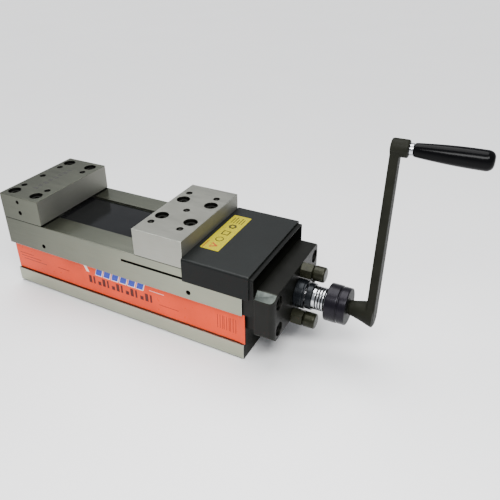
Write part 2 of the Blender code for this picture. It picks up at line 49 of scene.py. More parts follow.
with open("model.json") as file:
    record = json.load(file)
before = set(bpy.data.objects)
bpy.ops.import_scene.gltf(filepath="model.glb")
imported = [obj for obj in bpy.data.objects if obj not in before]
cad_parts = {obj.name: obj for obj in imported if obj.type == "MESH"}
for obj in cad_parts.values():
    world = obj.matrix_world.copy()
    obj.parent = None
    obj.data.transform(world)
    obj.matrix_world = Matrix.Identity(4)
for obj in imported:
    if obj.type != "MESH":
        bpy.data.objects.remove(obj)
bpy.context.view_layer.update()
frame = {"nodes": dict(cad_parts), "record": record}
BODY_OF = {node: body for body, nodes in frame["record"]["behaviour"]["bodies"].items()
           for node in nodes}

BASE_LOW, BASE_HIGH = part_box("base_casting")
FIXED_LOW, FIXED_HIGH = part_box("fixed_jaw")
MOVING_LOW, MOVING_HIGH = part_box("movable_jaw")
COVER_LOW, COVER_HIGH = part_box("chip_cover")
BRACKET_LOW, BRACKET_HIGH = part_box("rear_bracket")
PIN_LOW, PIN_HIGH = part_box("handle_pin")
GRIP_LOW, GRIP_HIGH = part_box("handle_grip")
COLLAR_LOW, COLLAR_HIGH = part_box("bearing_collar")
SPINDLE_LOW, SPINDLE_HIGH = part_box("spindle_screw")
SLEEVE_LOW, SLEEVE_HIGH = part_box("force_sleeve")
RING_LOW, RING_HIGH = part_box("detent_ring")
HUB_LOW, HUB_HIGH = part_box("drive_hub")
SLIDE_LOW, SLIDE_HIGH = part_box("jaw_slide")
NUT_LOW, NUT_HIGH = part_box("spindle_nut")

HALF = BASE_HIGH.y
RAIL_TOP = BASE_HIGH.z
JAW_TOP = FIXED_HIGH.z
SPINDLE_Z = (COLLAR_LOW.z + COLLAR_HIGH.z) / 2
AXIS = (0.0, SPINDLE_Z)
GRIP_AXIS = ((PIN_LOW.y + PIN_HIGH.y) / 2, (PIN_LOW.z + PIN_HIGH.z) / 2)
CRANK_LEAN = math.atan2(GRIP_AXIS[0], GRIP_AXIS[1] - SPINDLE_Z)
SPINDLE_R = 0.0140
RUNNING_GAP = 0.00015
CLOSE_GAP = 0.0003
OVER = 0.006  # How far a cutter passes the surface that it opens.

# The base's section: foot, clamp groove, rail and channel.
FOOT_HALF = HALF - 0.004
FOOT_TOP = 0.0258
GROOVE_HALF = HALF - 0.008
GROOVE_TOP = 0.0781
CHANNEL_HALF = 0.0423
CHANNEL_FLOOR = 0.034
UNDERCUT_HALF = 0.052
UNDERCUT_Z = (0.060, 0.098)
FOOT_CHAMFER = 0.0025
SIDE_SLOT_START = 0.154
SIDE_SLOT_DEPTH = 0.003
SIDE_SLOT_Z = (0.1080, 0.1120)
KEYWAYS_X = (-0.040, 0.300)
KEYWAY_HALF = (0.008, 0.055)
KEYWAY_DEPTH = 0.005

# Holes, as (x, y) on a top face, (x, z) on a side face or (y, z) on the bracket.
FIXED_SCREWS = [(x, side * 0.0624) for x in (-0.0655, -0.0183) for side in (-1, 1)]
MOVING_SCREWS = [(MOVING_LOW.x + x, side * 0.0283) for x in (0.0159, 0.0640) for side in (-1, 1)]
BRACKET_SCREWS = [(-0.062, 0.062), (0.062, 0.062), (-0.0625, 0.104), (0.0625, 0.104)]
COVER_SCREWS = [(-0.050, 0.135), (0.050, 0.135)]
FIXED_TAPPED = [(-0.0675, -0.0405), (-0.0675, 0.0), (-0.0675, 0.0405),
                (-0.0161, -0.0405), (-0.0161, 0.0405)]
MOVING_TAPPED = [(MOVING_LOW.x + x, y) for x, y in ((0.0125, -0.0506), (0.0125, 0.0506), (0.0396, 0.0),
                                                    (0.0608, -0.0506), (0.0608, 0.0506))]
BASE_SIDE_HOLES = ((-0.0035, 0.0895, 0.0035), (0.2675, 0.0895, 0.0035))
JAW_SIDE_HOLES = ((-0.0435, 0.1590, 0.0030), (-0.0420, 0.1405, 0.0035))
SIDE_HOLE_DEPTH = 0.012
JAW_BORE = 0.0053
JAW_BORE_DEPTH = 0.052
JAW_SEAT_DEPTH = 0.0145
TAPPED_DEPTH = 0.020
BASE_THREAD_DEPTH = 0.027
END_THREAD_DEPTH = 0.018
BRACKET_BORE = 0.0063

# The reliefs along the jaws' feet: how deep and how high.
RELIEF = (0.0014, 0.0016)

# Head radius, head height, shank radius, length under the head and socket width of each group of screws.
SCREW_SIZES = {
    "fixed_jaw_screw": (0.0088, 0.0100, 0.0050, 0.0500, 0.0080),
    "movable_jaw_screw": (0.0088, 0.0100, 0.0050, 0.0450, 0.0080),
    "bracket_screw": (0.0090, 0.0120, 0.0060, 0.0430, 0.0100),
    "cover_screw": (0.0040, 0.0024, 0.0020, 0.0090, 0.0025),
}
JAW_SCREW_SUNK = 0.0040
BRACKET_SCREW_SUNK = 0.0030

# The cover: its screw holes, the flange's gap over the rails, and the inner lip's gap and thickness.
COVER_HOLE_R = 0.0023
FLANGE_GAP = 0.0012
LIP_GAP, LIP_SHEET = 0.0011, 0.0012

# The bracket: a plate with cut corners, on two necks given as half width and lowest Z.
BRACKET_PLATE = 0.028
BRACKET_TOP_CUT = 0.010
BRACKET_LOW_CUT = 0.008
BRACKET_NECKS = ((0.0695, BRACKET_LOW.z + 0.004), (0.0775, 0.0792))
BRACKET_NECK_DROP = 0.007
BEARING_POCKET = (0.0275, 0.020)
BRACKET_SEAT_R = 0.0098
BRACKET_SEAT_DEPTH = 0.0153

# The studs and their nuts.
STUD_BORE = 0.0083
STUD_DEPTH = 0.020
STUD_SHANK = 0.0080
NUT_TURN = math.radians(27)

# The print on the bands, in rows of alike marks: first X, pitch, count and lowest Z.
BLOCK_ROW = (0.0920, 0.0156, 6, 0.0610)
BAR_ROW = (0.0770, 0.0090, 14, 0.0428)
TICK_ROW = (0.3080, 0.0034, 9, 0.0400)

# Its thin lines and its lone stripe: X, Z, length, height, slant and finish index. The lone slanted white
# stripe is a painted highlight, a glint; the thin white line is print.
BAND_LINES = (
    (0.0740, 0.0620, 0.0060, 0.0130, -0.0060, 2),
    (0.194, 0.0640, 0.0260, 0.0007, 0.0, 2),
    (0.210, 0.0440, 0.0340, 0.0006, 0.0, 0),
    (-0.072, 0.0570, 0.030, 0.0008, 0.0, 0),
    (-0.070, 0.0518, 0.044, 0.0008, 0.0, 0),
    (-0.066, 0.0466, 0.052, 0.0008, 0.0, 0),
    (0.012, 0.0500, 0.0240, 0.0008, 0.0, 0),
)

# The slide's bore for the nut, and how deep its screws reach.
SLIDE_BORE = 0.020
SLIDE_THREAD_DEPTH = 0.032

# The spindle: where the thread ends, and the thrust shoulder as start, end and radius.
THREAD_END = 0.3500
SHOULDER = (0.3520, 0.3580, 0.0200)

# The sleeve's bore and grooves, and the hub's step, pocket and hex socket, as distances from its start.
ROD_BORE = 0.0082
FORCE_RINGS = 4
HUB_STEP, HUB_POCKET, HUB_SOCKET = 0.018, 0.014, 0.016
SOCKET_FLATS, TAIL_FLATS = 0.0170, 0.0165

# The crank and its handle, as places along X and radii.
ARM_START, ARM_END = 0.4920, 0.5028
ARM_FOOT_R, ARM_TOP_R = 0.0130, 0.0088
ARM_FOOT_DROP = 0.004
BOSS_R = 0.0107
FERRULE_R, PIN_R = 0.0072, 0.0045
GRIP_BORE_END = 0.5880

# The lights: where they come from, and where the side light points.
SUN_FROM = (-0.5, 0.35, 1.6)
SIDE_LIGHT_PLACE = (0.58, -0.44, 0.76)
SIDE_LIGHT_TARGET = (0.38, -0.18, 0.0)
SIDE_LIGHT_SIZE = (0.6, 0.2)
SKY = (0.93, 0.95, 1.0, 1.0)
FLOOR_HALF = 15.0
FLOOR_DROP = 0.0002


# ---- Sizes and colours that a user would change ----

def length(name, text, default):
    return FloatProperty(name=name, description=text, default=default, unit="LENGTH", precision=5)


def colour(name, text, *default):
    return FloatVectorProperty(name=name, description=text, default=default, subtype="COLOR", size=3, min=0,
                               max=1)


class ViseSizes(bpy.types.PropertyGroup):
    """Sizes of the fine details. The main sizes come from the frame."""

    edge: length("Edge round", "Round on the machined edges of the base and the jaws", 0.0006)
    mouth: length("Hole mouth", "Chamfer round the mouth of a drilled hole", 0.0004)
    tapped_radius: length("Tapped hole", "Core radius of a tapped hole in a jaw", 0.0050)
    tapped_pitch: length("Tapped pitch", "Distance from one thread to the next in a tapped hole", 0.0015)
    counterbore: length("Counterbore", "Radius of the pocket for a cap screw's head", 0.0101)
    sheet: length("Cover sheet", "Thickness of the chip cover's steel", 0.0022)
    bend: length("Cover bend", "Outer radius of the cover's folds", 0.0030)
    lip_reach: length("Lip reach", "How far the inner lip stands out behind the cover", 0.0058)
    film: length("Band film", "Thickness of the printed band", 0.0004)
    crease: length("Crease depth", "Height of the creases in the printed band", 0.00045)
    corner: length("Bracket corner", "Round on the bracket's rear corners", 0.0075)
    nut: length("Stud nut", "Width of the stud nuts across their flats", 0.0205)
    thread_pitch: length("Spindle pitch", "Lead of the spindle's thread", 0.0060)
    thread_depth: length("Spindle thread", "Depth of the spindle's thread", 0.0026)
    forging: length("Forging grain", "Size of the facets that soften the crank", 0.0009)
    forging_rounds: IntProperty(name="Forging rounds", description="Times the crank is smoothed", default=4,
                                min=1)


class ViseColours(bpy.types.PropertyGroup):
    """Colours of the finishes, as linear values."""

    jaw: colour("Jaw steel", "Ground steel of the jaws", 0.27, 0.272, 0.24)
    iron: colour("Base iron", "Ground iron of the base, slightly green", 0.245, 0.256, 0.2)
    edge: colour("Edge", "Bare metal where an edge was ground", 0.33, 0.34, 0.3)
    # Oil and painted shade: this near-black colour also darkens hole mouths, grooves, the side slots, the jaw
    # reliefs and edges where shade falls.
    bore: colour("Bore", "Oily metal inside a hole", 0.012, 0.012, 0.01)
    machined: colour("Machined iron", "Hidden machined iron", 0.15, 0.155, 0.14)
    cover: colour("Cover", "Powder coat of the chip cover", 0.0092, 0.0104, 0.0100)
    oxide: colour("Black oxide", "Blackened steel", 0.0042, 0.0044, 0.0034)
    violet: colour("Hub oxide", "Blackened steel with a violet sheen", 0.0062, 0.0052, 0.0084)
    olive: colour("Olive steel", "Oiled and blackened studs and nuts", 0.012, 0.0125, 0.006)
    crank: colour("Crank", "Blackened forging", 0.0098, 0.0102, 0.0072)
    chrome: colour("Chrome", "Polished plating", 0.46, 0.47, 0.49)
    bearing: colour("Bearing steel", "Ground spindle and races", 0.4, 0.4, 0.41)
    bronze: colour("Bronze", "Spindle nut", 0.42, 0.27, 0.1)
    plate: colour("Way plate", "Dark polished plate between the rails", 0.022, 0.023, 0.024)
    band: colour("Band", "Printed film in the clamp grooves", 0.74, 0.058, 0.013)
    band_ink: colour("Band ink", "Dark print on the band", 0.075, 0.009, 0.005)
    band_blue: colour("Band blue", "Blue print on the band", 0.03, 0.055, 0.42)
    # Print and painted highlight: besides the light print, this colour makes the lone slanted stripe that
    # stands for a glint.
    band_white: colour("Band white", "Light print on the band", 0.85, 0.74, 0.68)
    label: colour("Label", "Film of the label on the cover", 0.34, 0.29, 0.0035)
    label_ink: colour("Label ink", "Dark print on the label", 0.035, 0.03, 0.008)
    label_red: colour("Label red", "Red print on the label", 0.3, 0.04, 0.01)
    grip: colour("Grip", "Moulded plastic of the handle", 0.0018, 0.0018, 0.0021)
    collar: colour("Collar", "Smooth black of the collar, with a cold tint", 0.007, 0.0085, 0.0105)
    # Painted highlight: this light colour of the bracket's upper chamfers stands for the light they reflect.
    facet: colour("Facet", "Worn metal on the bracket's upper chamfers", 0.125, 0.143, 0.13)
    # Painted shade: this near-black colour of the base's face towards the crank stands for shade.
    sawn: colour("Sawn iron", "Dark, oiled end face of the base", 0.0055, 0.0058, 0.0038)
    # Painted shade: this colour, darker than the cover, stands for the shade inside the cover's rear end and
    # on the hub's end.
    lip: colour("Lip", "Dull black inside the cover and on the hub's end", 0.0045, 0.0048, 0.0045)
    etching: colour("Etching", "Etched marks on the fixed jaw", 0.022, 0.022, 0.018)
    floor: colour("Floor", "Floor of the studio", 0.92, 0.92, 0.92)


class ViseStage(bpy.types.PropertyGroup):
    """The camera and the lights."""

    eye: FloatVectorProperty(name="Eye", description="Place of the camera", subtype="XYZ", unit="LENGTH",
                             size=3, default=(0.6122, -0.5789, 0.5295))
    azimuth: FloatProperty(name="Azimuth", description="Turn of the camera from the front", subtype="ANGLE",
                           default=math.radians(30.2))
    elevation: FloatProperty(name="Elevation", description="Height angle of the camera", subtype="ANGLE",
                             default=math.radians(28.0))
    roll: FloatProperty(name="Roll", description="Tilt of the camera about its view", subtype="ANGLE",
                        default=math.radians(-1.9))
    lens: FloatProperty(name="Lens", description="Focal length in millimetres", default=39.03)
    shift: FloatVectorProperty(name="Shift", description="Lens shift that frames the vise", size=2,
                               default=(0.06, -0.07))
    sun: FloatProperty(name="Key light", description="Strength of the wide overhead light", default=4.2)
    spread: FloatProperty(name="Key spread", description="Angle the overhead light fills", subtype="ANGLE",
                          default=math.radians(50.0))
    fill: FloatProperty(name="Fill light", description="Power of the side light", subtype="POWER",
                        default=10.0)
    sky: FloatProperty(name="Sky", description="Brightness of the surroundings", default=0.5)


# ---- Finishes ----

def link(tree, start, output, end, entry):
    tree.links.new(start.outputs[output], end.inputs[entry])


def texture_noise(tree, scale, stretch=(1.0, 1.0, 1.0), detail=3.0):
    """Noise in the piece's own place, in features per metre, stretched per axis."""
    place = tree.nodes.new("ShaderNodeTexCoord")
    mapping = tree.nodes.new("ShaderNodeMapping")
    mapping.inputs["Scale"].default_value = stretch
    found = tree.nodes.new("ShaderNodeTexNoise")
    found.inputs["Scale"].default_value = scale
    found.inputs["Detail"].default_value = detail
    link(tree, place, "Object", mapping, "Vector")
    link(tree, mapping, "Vector", found, "Vector")
    return found


def between(tree, source, low, high, output="Fac"):
    """Maps the middle of a noise to the span from low to high."""
    span = tree.nodes.new("ShaderNodeMapRange")
    span.inputs["From Min"].default_value = 0.3
    span.inputs["From Max"].default_value = 0.7
    span.inputs["To Min"].default_value = low
    span.inputs["To Max"].default_value = high
    link(tree, source, output, span, "Value")
    return span


def mixed(tree, factor, dark, light):
    """A colour between two, by a varying factor."""
    mix = tree.nodes.new("ShaderNodeMix")
    mix.data_type = "RGBA"
    mix.inputs["A"].default_value = (*dark, 1.0)
    mix.inputs["B"].default_value = (*light, 1.0)
    tree.links.new(factor, mix.inputs["Factor"])
    return mix.outputs["Result"]


def shade(colour_value, amount):
    return tuple(min(1.0, channel * amount) for channel in colour_value)


# Painted shade towards the fixed jaw's end: the colour's share at the two ends of the ramp, and how far before
# the rear end it reaches full colour.
PAINTED_SHADE_SPAN = (0.35, 0.95)
PAINTED_SHADE_END = 0.10


def painted_shade_ramp(tree, colour_out):
    """Darkens a colour towards the fixed jaw's end: painted shade, where the light falls off."""
    place = tree.nodes.new("ShaderNodeTexCoord")
    parts = tree.nodes.new("ShaderNodeSeparateXYZ")
    link(tree, place, "Object", parts, "Vector")
    span = tree.nodes.new("ShaderNodeMapRange")
    span.inputs["From Min"].default_value = BASE_LOW.x
    span.inputs["From Max"].default_value = BASE_HIGH.x - PAINTED_SHADE_END
    span.inputs["To Min"].default_value, span.inputs["To Max"].default_value = PAINTED_SHADE_SPAN
    link(tree, parts, "X", span, "Value")
    mix = tree.nodes.new("ShaderNodeMix")
    mix.data_type = "RGBA"
    mix.blend_type = "MULTIPLY"
    mix.inputs["Factor"].default_value = 1.0
    tree.links.new(colour_out, mix.inputs["A"])
    link(tree, span, "Result", mix, "B")
    return mix.outputs["Result"]


class Finish(NamedTuple):
    """One finish. A noise is given by its features per metre and by how far it varies."""

    colour: str
    roughness: float
    metallic: float
    cloud: tuple
    grain: tuple
    along: tuple = (1.0, 1.0, 1.0)
    relief: tuple = (600.0, 0.00003)
    specular: float = 0.5
    share: float = 1.0
    # painted_shade: the colour darkens towards the fixed jaw's end, as painted shade for the light that falls
    # off there.
    painted_shade: bool = False


GRINDING = (0.05, 1.0, 1.0)
TURNING = (1.0, 0.15, 0.15)
SMOOTH = (1.0, 0.1, 0.1)
MILLING = (1.0, 0.1, 1.0)

FINISHES = {
    # Ground and machined metal
    "ground_steel": Finish("jaw", 0.40, 1.0, (16, 0.06), (700, 0.06), GRINDING, (900, 0.00002)),
    "ground_iron": Finish("iron", 0.36, 1.0, (10, 0.07), (500, 0.07), GRINDING,
                          (700, 0.00003), painted_shade=True),
    "ground_way": Finish("iron", 0.24, 1.0, (12, 0.06), (300, 0.02), GRINDING, (300, 0.000002), share=1.42,
                         painted_shade=True),
    "ground_foot": Finish("iron", 0.40, 1.0, (10, 0.07), (500, 0.07), GRINDING, (700, 0.00003), share=1.35),
    # The jaws' faces towards the crank: the jaw steel darkened, as painted shade for faces turned away from
    # the light.
    "jaw_back": Finish("jaw", 0.58, 0.9, (16, 0.08), (700, 0.06), GRINDING, (900, 0.00003), share=0.75),
    "bare_edge": Finish("edge", 0.28, 1.0, (60, 0.10), (900, 0.06)),
    # Near-black oily metal in holes, also used as painted shade in grooves, slots, reliefs and shaded edges.
    "oily_bore": Finish("bore", 0.42, 0.8, (300, 0.25), (900, 0.10)),
    "machined_iron": Finish("machined", 0.48, 1.0, (30, 0.12), (600, 0.10), MILLING, (700, 0.00005)),
    # The base's face towards the crank: near-black, as painted shade.
    "sawn_iron": Finish("sawn", 0.55, 0.0, (45, 0.22), (500, 0.08), specular=0.15),
    # The bracket's upper chamfers: lighter metal, as painted highlight.
    "worn_facet": Finish("facet", 0.42, 0.85, (160, 0.25), (500, 0.08)),
    "etched_mark": Finish("etching", 0.60, 0.2, (400, 0.30), (800, 0.08)),
    "polished_plate": Finish("plate", 0.13, 0.75, (18, 0.16), (300, 0.05), GRINDING, (500, 0.00001)),
    "chrome": Finish("chrome", 0.16, 1.0, (40, 0.03), (500, 0.03), SMOOTH, (900, 0.000002)),
    "bearing_steel": Finish("bearing", 0.22, 1.0, (50, 0.06), (500, 0.05)),
    "bronze": Finish("bronze", 0.34, 1.0, (60, 0.12), (600, 0.06)),
    # Black and coated metal
    "cover_coat": Finish("cover", 0.40, 0.0, (12, 0.12), (1400, 0.05),
                         relief=(2200, 0.00004), specular=0.15),
    # The cover's sides: the same coat darkened, as painted shade on sides that take less light.
    "cover_side": Finish("cover", 0.45, 0.0, (12, 0.12), (1400, 0.05), relief=(2200, 0.00004), specular=0.10,
                         share=0.52),
    # Dull black for the cover's inner lip and the hub's end: painted shade.
    "lip_black": Finish("lip", 0.50, 0.0, (60, 0.15), (900, 0.05), specular=0.10),
    "black_oxide": Finish("oxide", 0.42, 0.0, (40, 0.20), (700, 0.07),
                          relief=(900, 0.00004), specular=0.12),
    "oxide_edge": Finish("oxide", 0.40, 0.8, (90, 0.25), (900, 0.06), share=4.0),
    "collar_oxide": Finish("collar", 0.30, 0.45, (70, 0.15), (600, 0.05), TURNING, (900, 0.00002), 0.25),
    "violet_oxide": Finish("violet", 0.30, 0.40, (60, 0.18), (600, 0.05), TURNING, (900, 0.00002), 0.2),
    "olive_steel": Finish("olive", 0.38, 0.45, (120, 0.25), (700, 0.08),
                          relief=(800, 0.00005), specular=0.25),
    "forged_black": Finish("crank", 0.52, 0.0, (50, 0.18), (400, 0.08),
                           relief=(420, 0.00016), specular=0.06),
    # Plastic, film and the floor
    "grip_plastic": Finish("grip", 0.16, 0.0, (60, 0.20), (500, 0.02),
                           relief=(300, 0.00001), specular=0.055),
    "band_film": Finish("band", 0.34, 0.0, (22, 0.10), (160, 0.07), relief=(140, 0.00018), specular=0.15),
    "label_film": Finish("label", 0.45, 0.0, (420, 0.22), (300, 0.06),
                         relief=(200, 0.00003), specular=0.15),
    "studio_floor": Finish("floor", 0.65, 0.0, (3, 0.01), (60, 0.03), relief=(90, 0.00001)),
}
for ink in ("band_ink", "band_blue", "band_white", "label_ink", "label_red"):
    FINISHES[ink] = Finish(ink, 0.40, 0.0, (700, 0.22), (500, 0.06), specular=0.2)


def look(name):
    """The material of a finish: clouded colour, streaked or grained roughness and a fine relief."""
    made = bpy.data.materials.get(name + "_finish")
    if made:
        return made
    kind = FINISHES[name]
    base = shade(getattr(bpy.context.scene.vise_colours, kind.colour), kind.share)
    made = bpy.data.materials.new(name + "_finish")
    made.use_nodes = True
    tree = made.node_tree
    shader = tree.nodes["Principled BSDF"]
    shader.inputs["Metallic"].default_value = kind.metallic
    shader.inputs["Specular IOR Level"].default_value = kind.specular
    size, depth = kind.cloud
    clouds = between(tree, texture_noise(tree, size), 0.0, 1.0)
    colour_out = mixed(tree, clouds.outputs["Result"], shade(base, 1 - depth), shade(base, 1 + depth))
    # Painted shade: darker towards the fixed jaw's end.
    if kind.painted_shade:
        colour_out = painted_shade_ramp(tree, colour_out)
    tree.links.new(colour_out, shader.inputs["Base Color"])
    size, depth = kind.grain
    streaks = between(tree, texture_noise(tree, size, kind.along), kind.roughness - depth,
                      kind.roughness + depth)
    link(tree, streaks, "Result", shader, "Roughness")
    size, depth = kind.relief
    relief = tree.nodes.new("ShaderNodeBump")
    relief.inputs["Distance"].default_value = depth
    link(tree, texture_noise(tree, size, kind.along, 2.0), "Fac", relief, "Height")
    link(tree, relief, "Normal", shader, "Normal")
    return made


def sizes():
    return bpy.context.scene.vise_sizes


# ---- Shapes ----

def prism(outline, start, end):
    """A closed outline of (y, z) points, extruded along X."""
    bm = bmesh.new()
    face = bm.faces.new([bm.verts.new((start, y, z)) for y, z in outline])
    moved = bmesh.ops.extrude_face_region(bm, geom=[face])
    tips = [v for v in moved["geom"] if isinstance(v, bmesh.types.BMVert)]
    bmesh.ops.translate(bm, verts=tips, vec=(end - start, 0, 0))
    bmesh.ops.recalc_face_normals(bm, faces=bm.faces)
    return bm


def block(low, high):
    outline = ((low[1], low[2]), (high[1], low[2]), (high[1], high[2]), (low[1], high[2]))
    return prism(outline, low[0], high[0])


def turned(profile, sides=64, centre=(0.0, 0.0)):
    """A profile of (x, radius) points spun about an X line. One that starts off the axis is closed."""
    bm = bmesh.new()
    points = [bm.verts.new((x, radius, 0)) for x, radius in profile]
    follow = points[1:] + points[:1] if profile[0][1] > 0 else points[1:]
    edges = [bm.edges.new((a, b)) for a, b in zip(points, follow) if a.co.y > 0 or b.co.y > 0]
    bmesh.ops.spin(bm, geom=points + edges, axis=(1, 0, 0), cent=(0, 0, 0), angle=math.tau, steps=sides,
                   use_merge=True)
    bmesh.ops.remove_doubles(bm, verts=bm.verts, dist=1e-6)
    bmesh.ops.translate(bm, verts=bm.verts, vec=(0, centre[0], centre[1]))
    bmesh.ops.recalc_face_normals(bm, faces=bm.faces)
    return bm


def softened(profile, radius, steps=3):
    """The profile with each corner off the axis turned into a small round."""
    closed = profile[0][1] > 0
    count = len(profile)
    found = []
    for i, corner in enumerate(profile):
        if corner[1] == 0 or (not closed and i in (0, count - 1)):
            found.append(corner)
            continue
        here = Vector(corner)
        ends = [Vector(profile[i - 1]) - here, Vector(profile[(i + 1) % count]) - here]
        if math.pi - ends[0].angle(ends[1]) < math.radians(8):
            found.append(corner)
            continue
        a, b = (here + end.normalized() * min(radius, end.length * 0.45) for end in ends)
        for step in range(steps + 1):
            t = step / steps
            point = a * (1 - t) ** 2 + here * 2 * t * (1 - t) + b * t * t
            found.append((point.x, max(point.y, 0.0)))
    return found


def hexagon(start, end, flats, centre, turn=0.0):
    radius = flats / 2 / math.cos(math.pi / 6)
    angles = [turn + math.tau * i / 6 for i in range(6)]
    return prism([(centre[0] + radius * math.cos(a), centre[1] + radius * math.sin(a)) for a in angles],
                 start, end)


def mirrored(outline):
    return list(outline) + [(-y, z) for y, z in reversed(outline)]


def round_edges(bm, width, segments=2, chosen=None):
    """Rounds the outer corners, and marks the new faces as edges."""
    bm.normal_update()
    picked = [edge for edge in bm.edges if len(edge.link_faces) == 2
              and edge.calc_face_angle_signed() > math.radians(30) and (chosen is None or chosen(edge))]
    bmesh.ops.bevel(bm, geom=picked, offset=width, offset_type="OFFSET", segments=segments, profile=0.5,
                    affect="EDGES", clamp_overlap=True, material=1)
    return bm


def joined(*meshes):
    """Several shapes in one bmesh."""
    whole = bmesh.new()
    for bm in meshes:
        part = bpy.data.meshes.new("part")
        bm.to_mesh(part)
        bm.free()
        whole.from_mesh(part)
        bpy.data.meshes.remove(part)
    return whole


def slab(across, along, place):
    """A closed thin sheet. place(u, v, side) gives its points, with side 0 outside and 1 inside."""
    bm = bmesh.new()
    grids = [[[bm.verts.new(place(i / across, j / along, side)) for j in range(along + 1)]
              for i in range(across + 1)] for side in (0, 1)]
    for grid in grids:
        for i in range(across):
            for j in range(along):
                bm.faces.new((grid[i][j], grid[i + 1][j], grid[i + 1][j + 1], grid[i][j + 1]))
    rim = [(i, 0) for i in range(across)] + [(across, j) for j in range(along)]
    rim += [(i, along) for i in range(across, 0, -1)] + [(0, j) for j in range(along, 0, -1)]
    for (i, j), (k, m) in zip(rim, rim[1:] + rim[:1]):
        bm.faces.new((grids[0][i][j], grids[0][k][m], grids[1][k][m], grids[1][i][j]))
    bmesh.ops.recalc_face_normals(bm, faces=bm.faces)
    return bm


# ---- Holes ----

def aimed(bm, place, outward):
    """Moves a shape made along X so that it points outward from place."""
    turn = Vector((1, 0, 0)).rotation_difference(Vector(outward)).to_matrix().to_4x4()
    bmesh.ops.transform(bm, matrix=Matrix.Translation(Vector(place)) @ turn, verts=bm.verts)
    return bm


def hole(place, outward, profile, radius, sides=32, rim=1):
    """A cutter that ends in a chamfered mouth, which takes the rim's finish. The rest is a bore, whose
    near-black finish is oil and painted shade.
    """
    mouth = sizes().mouth
    profile = list(profile) + [(-mouth, radius), (0.0, radius + mouth), (OVER, radius + mouth), (OVER, 0.0)]
    bm = turned(profile, sides)
    for face in bm.faces:
        middle = face.calc_center_median().x
        face.material_index = rim if -mouth < middle < 0 else 2
    return aimed(bm, place, outward)


# Drilled, tapped and counterbored holes give their mouths the near-black bore finish as well: painted shade.
def drilled(place, outward, radius, depth, sides=32):
    return hole(place, outward, [(-depth - radius * 0.5, 0.0), (-depth, radius)], radius, sides, 2)


def tapped(place, outward, radius, depth, pitch):
    """A blind hole with ring grooves that stand for its thread."""
    profile = [(-depth - radius * 0.5, 0.0), (-depth, radius)]
    start = -depth + pitch
    for i in range(int((depth - 2 * pitch) / pitch)):
        profile += [(start + i * pitch, radius), (start + (i + 0.5) * pitch, radius + pitch * 0.42)]
    profile.append((start + int((depth - 2 * pitch) / pitch) * pitch, radius))
    return hole(place, outward, profile, radius, 28, 2)


def counterbored(place, outward, narrow, wide, seat, through):
    return hole(place, outward, [(-through, 0.0), (-through, narrow), (-seat, narrow), (-seat, wide)],
                wide, 48, 2)


# ---- Pieces ----

def settle(obj):
    """Applies the modifiers to the object's own mesh."""
    graph = bpy.context.evaluated_depsgraph_get()
    mesh = bpy.data.meshes.new_from_object(obj.evaluated_get(graph), depsgraph=graph)
    obj.modifiers.clear()
    obj.data = mesh


def scene_object(name, bm, finishes):
    mesh = bpy.data.meshes.new(name)
    bm.to_mesh(mesh)
    bm.free()
    for finish in finishes:
        mesh.materials.append(look(finish))
    obj = bpy.data.objects.new(name, mesh)
    bpy.context.scene.collection.objects.link(obj)
    return obj


def boolean(obj, bm, finishes, operation="DIFFERENCE"):
    """Cuts a shape from the object, or joins one to it, and leaves no helper behind."""
    helper = scene_object(obj.name + "_helper", bm, finishes)
    step = obj.modifiers.new(operation, "BOOLEAN")
    step.operation = operation
    step.solver = "EXACT"
    step.object = helper
    settle(obj)
    bpy.data.objects.remove(helper, do_unlink=True)


def add_piece(name, bm, finishes, body, stands_for=(), cutters=(), sharp=50, unite=()):
    """Makes a piece, cuts its holes, shades it and gives it to the frame."""
    obj = scene_object(name, bm, finishes)
    for shape in unite:
        boolean(obj, shape, finishes, "UNION")
    if cutters:
        boolean(obj, joined(*cutters), finishes)
    obj.data.shade_smooth()
    obj.data.set_sharp_from_angle(angle=math.radians(sharp))
    even = obj.modifiers.new("even_shading", "WEIGHTED_NORMAL")
    even.keep_sharp = True
    settle(obj)
    obj.data.name = name
    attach(obj, body)
    if stands_for:
        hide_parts(*stands_for)
    return obj


def finish_node(node, bm, *finishes, cutters=(), sharp=50, unite=()):
    """The finished piece of one CAD node."""
    return add_piece("finished_" + node, bm, finishes, BODY_OF[node], (node,), cutters, sharp,
                     unite)


def keep_node(node, finish):
    """A CAD node whose shape is right gets its finish."""
    mesh = frame["nodes"][node].data
    mesh.materials.clear()
    mesh.materials.append(look(finish))


def cap_screw(group, number, place, outward):
    """A socket-head screw whose head ends at place."""
    radius, height, shank, under, flats = SCREW_SIZES[group]
    profile = softened([(-under - height, 0.0), (-under - height, shank - 0.0004), (-height, shank - 0.0004),
                        (-height, radius), (0.0, radius), (0.0, 0.0)], 0.0009)
    socket = hexagon(-height * 0.5, OVER, flats, (0.0, 0.0))
    # The socket takes the near-black finish: oil and painted shade.
    for face in socket.faces:
        face.material_index = 1
    return finish_node(f"{group}_{number}", aimed(turned(profile, 48), place, outward), "black_oxide",
                       "oily_bore", cutters=[aimed(socket, place, outward)], sharp=40)


# ---- Operators ----

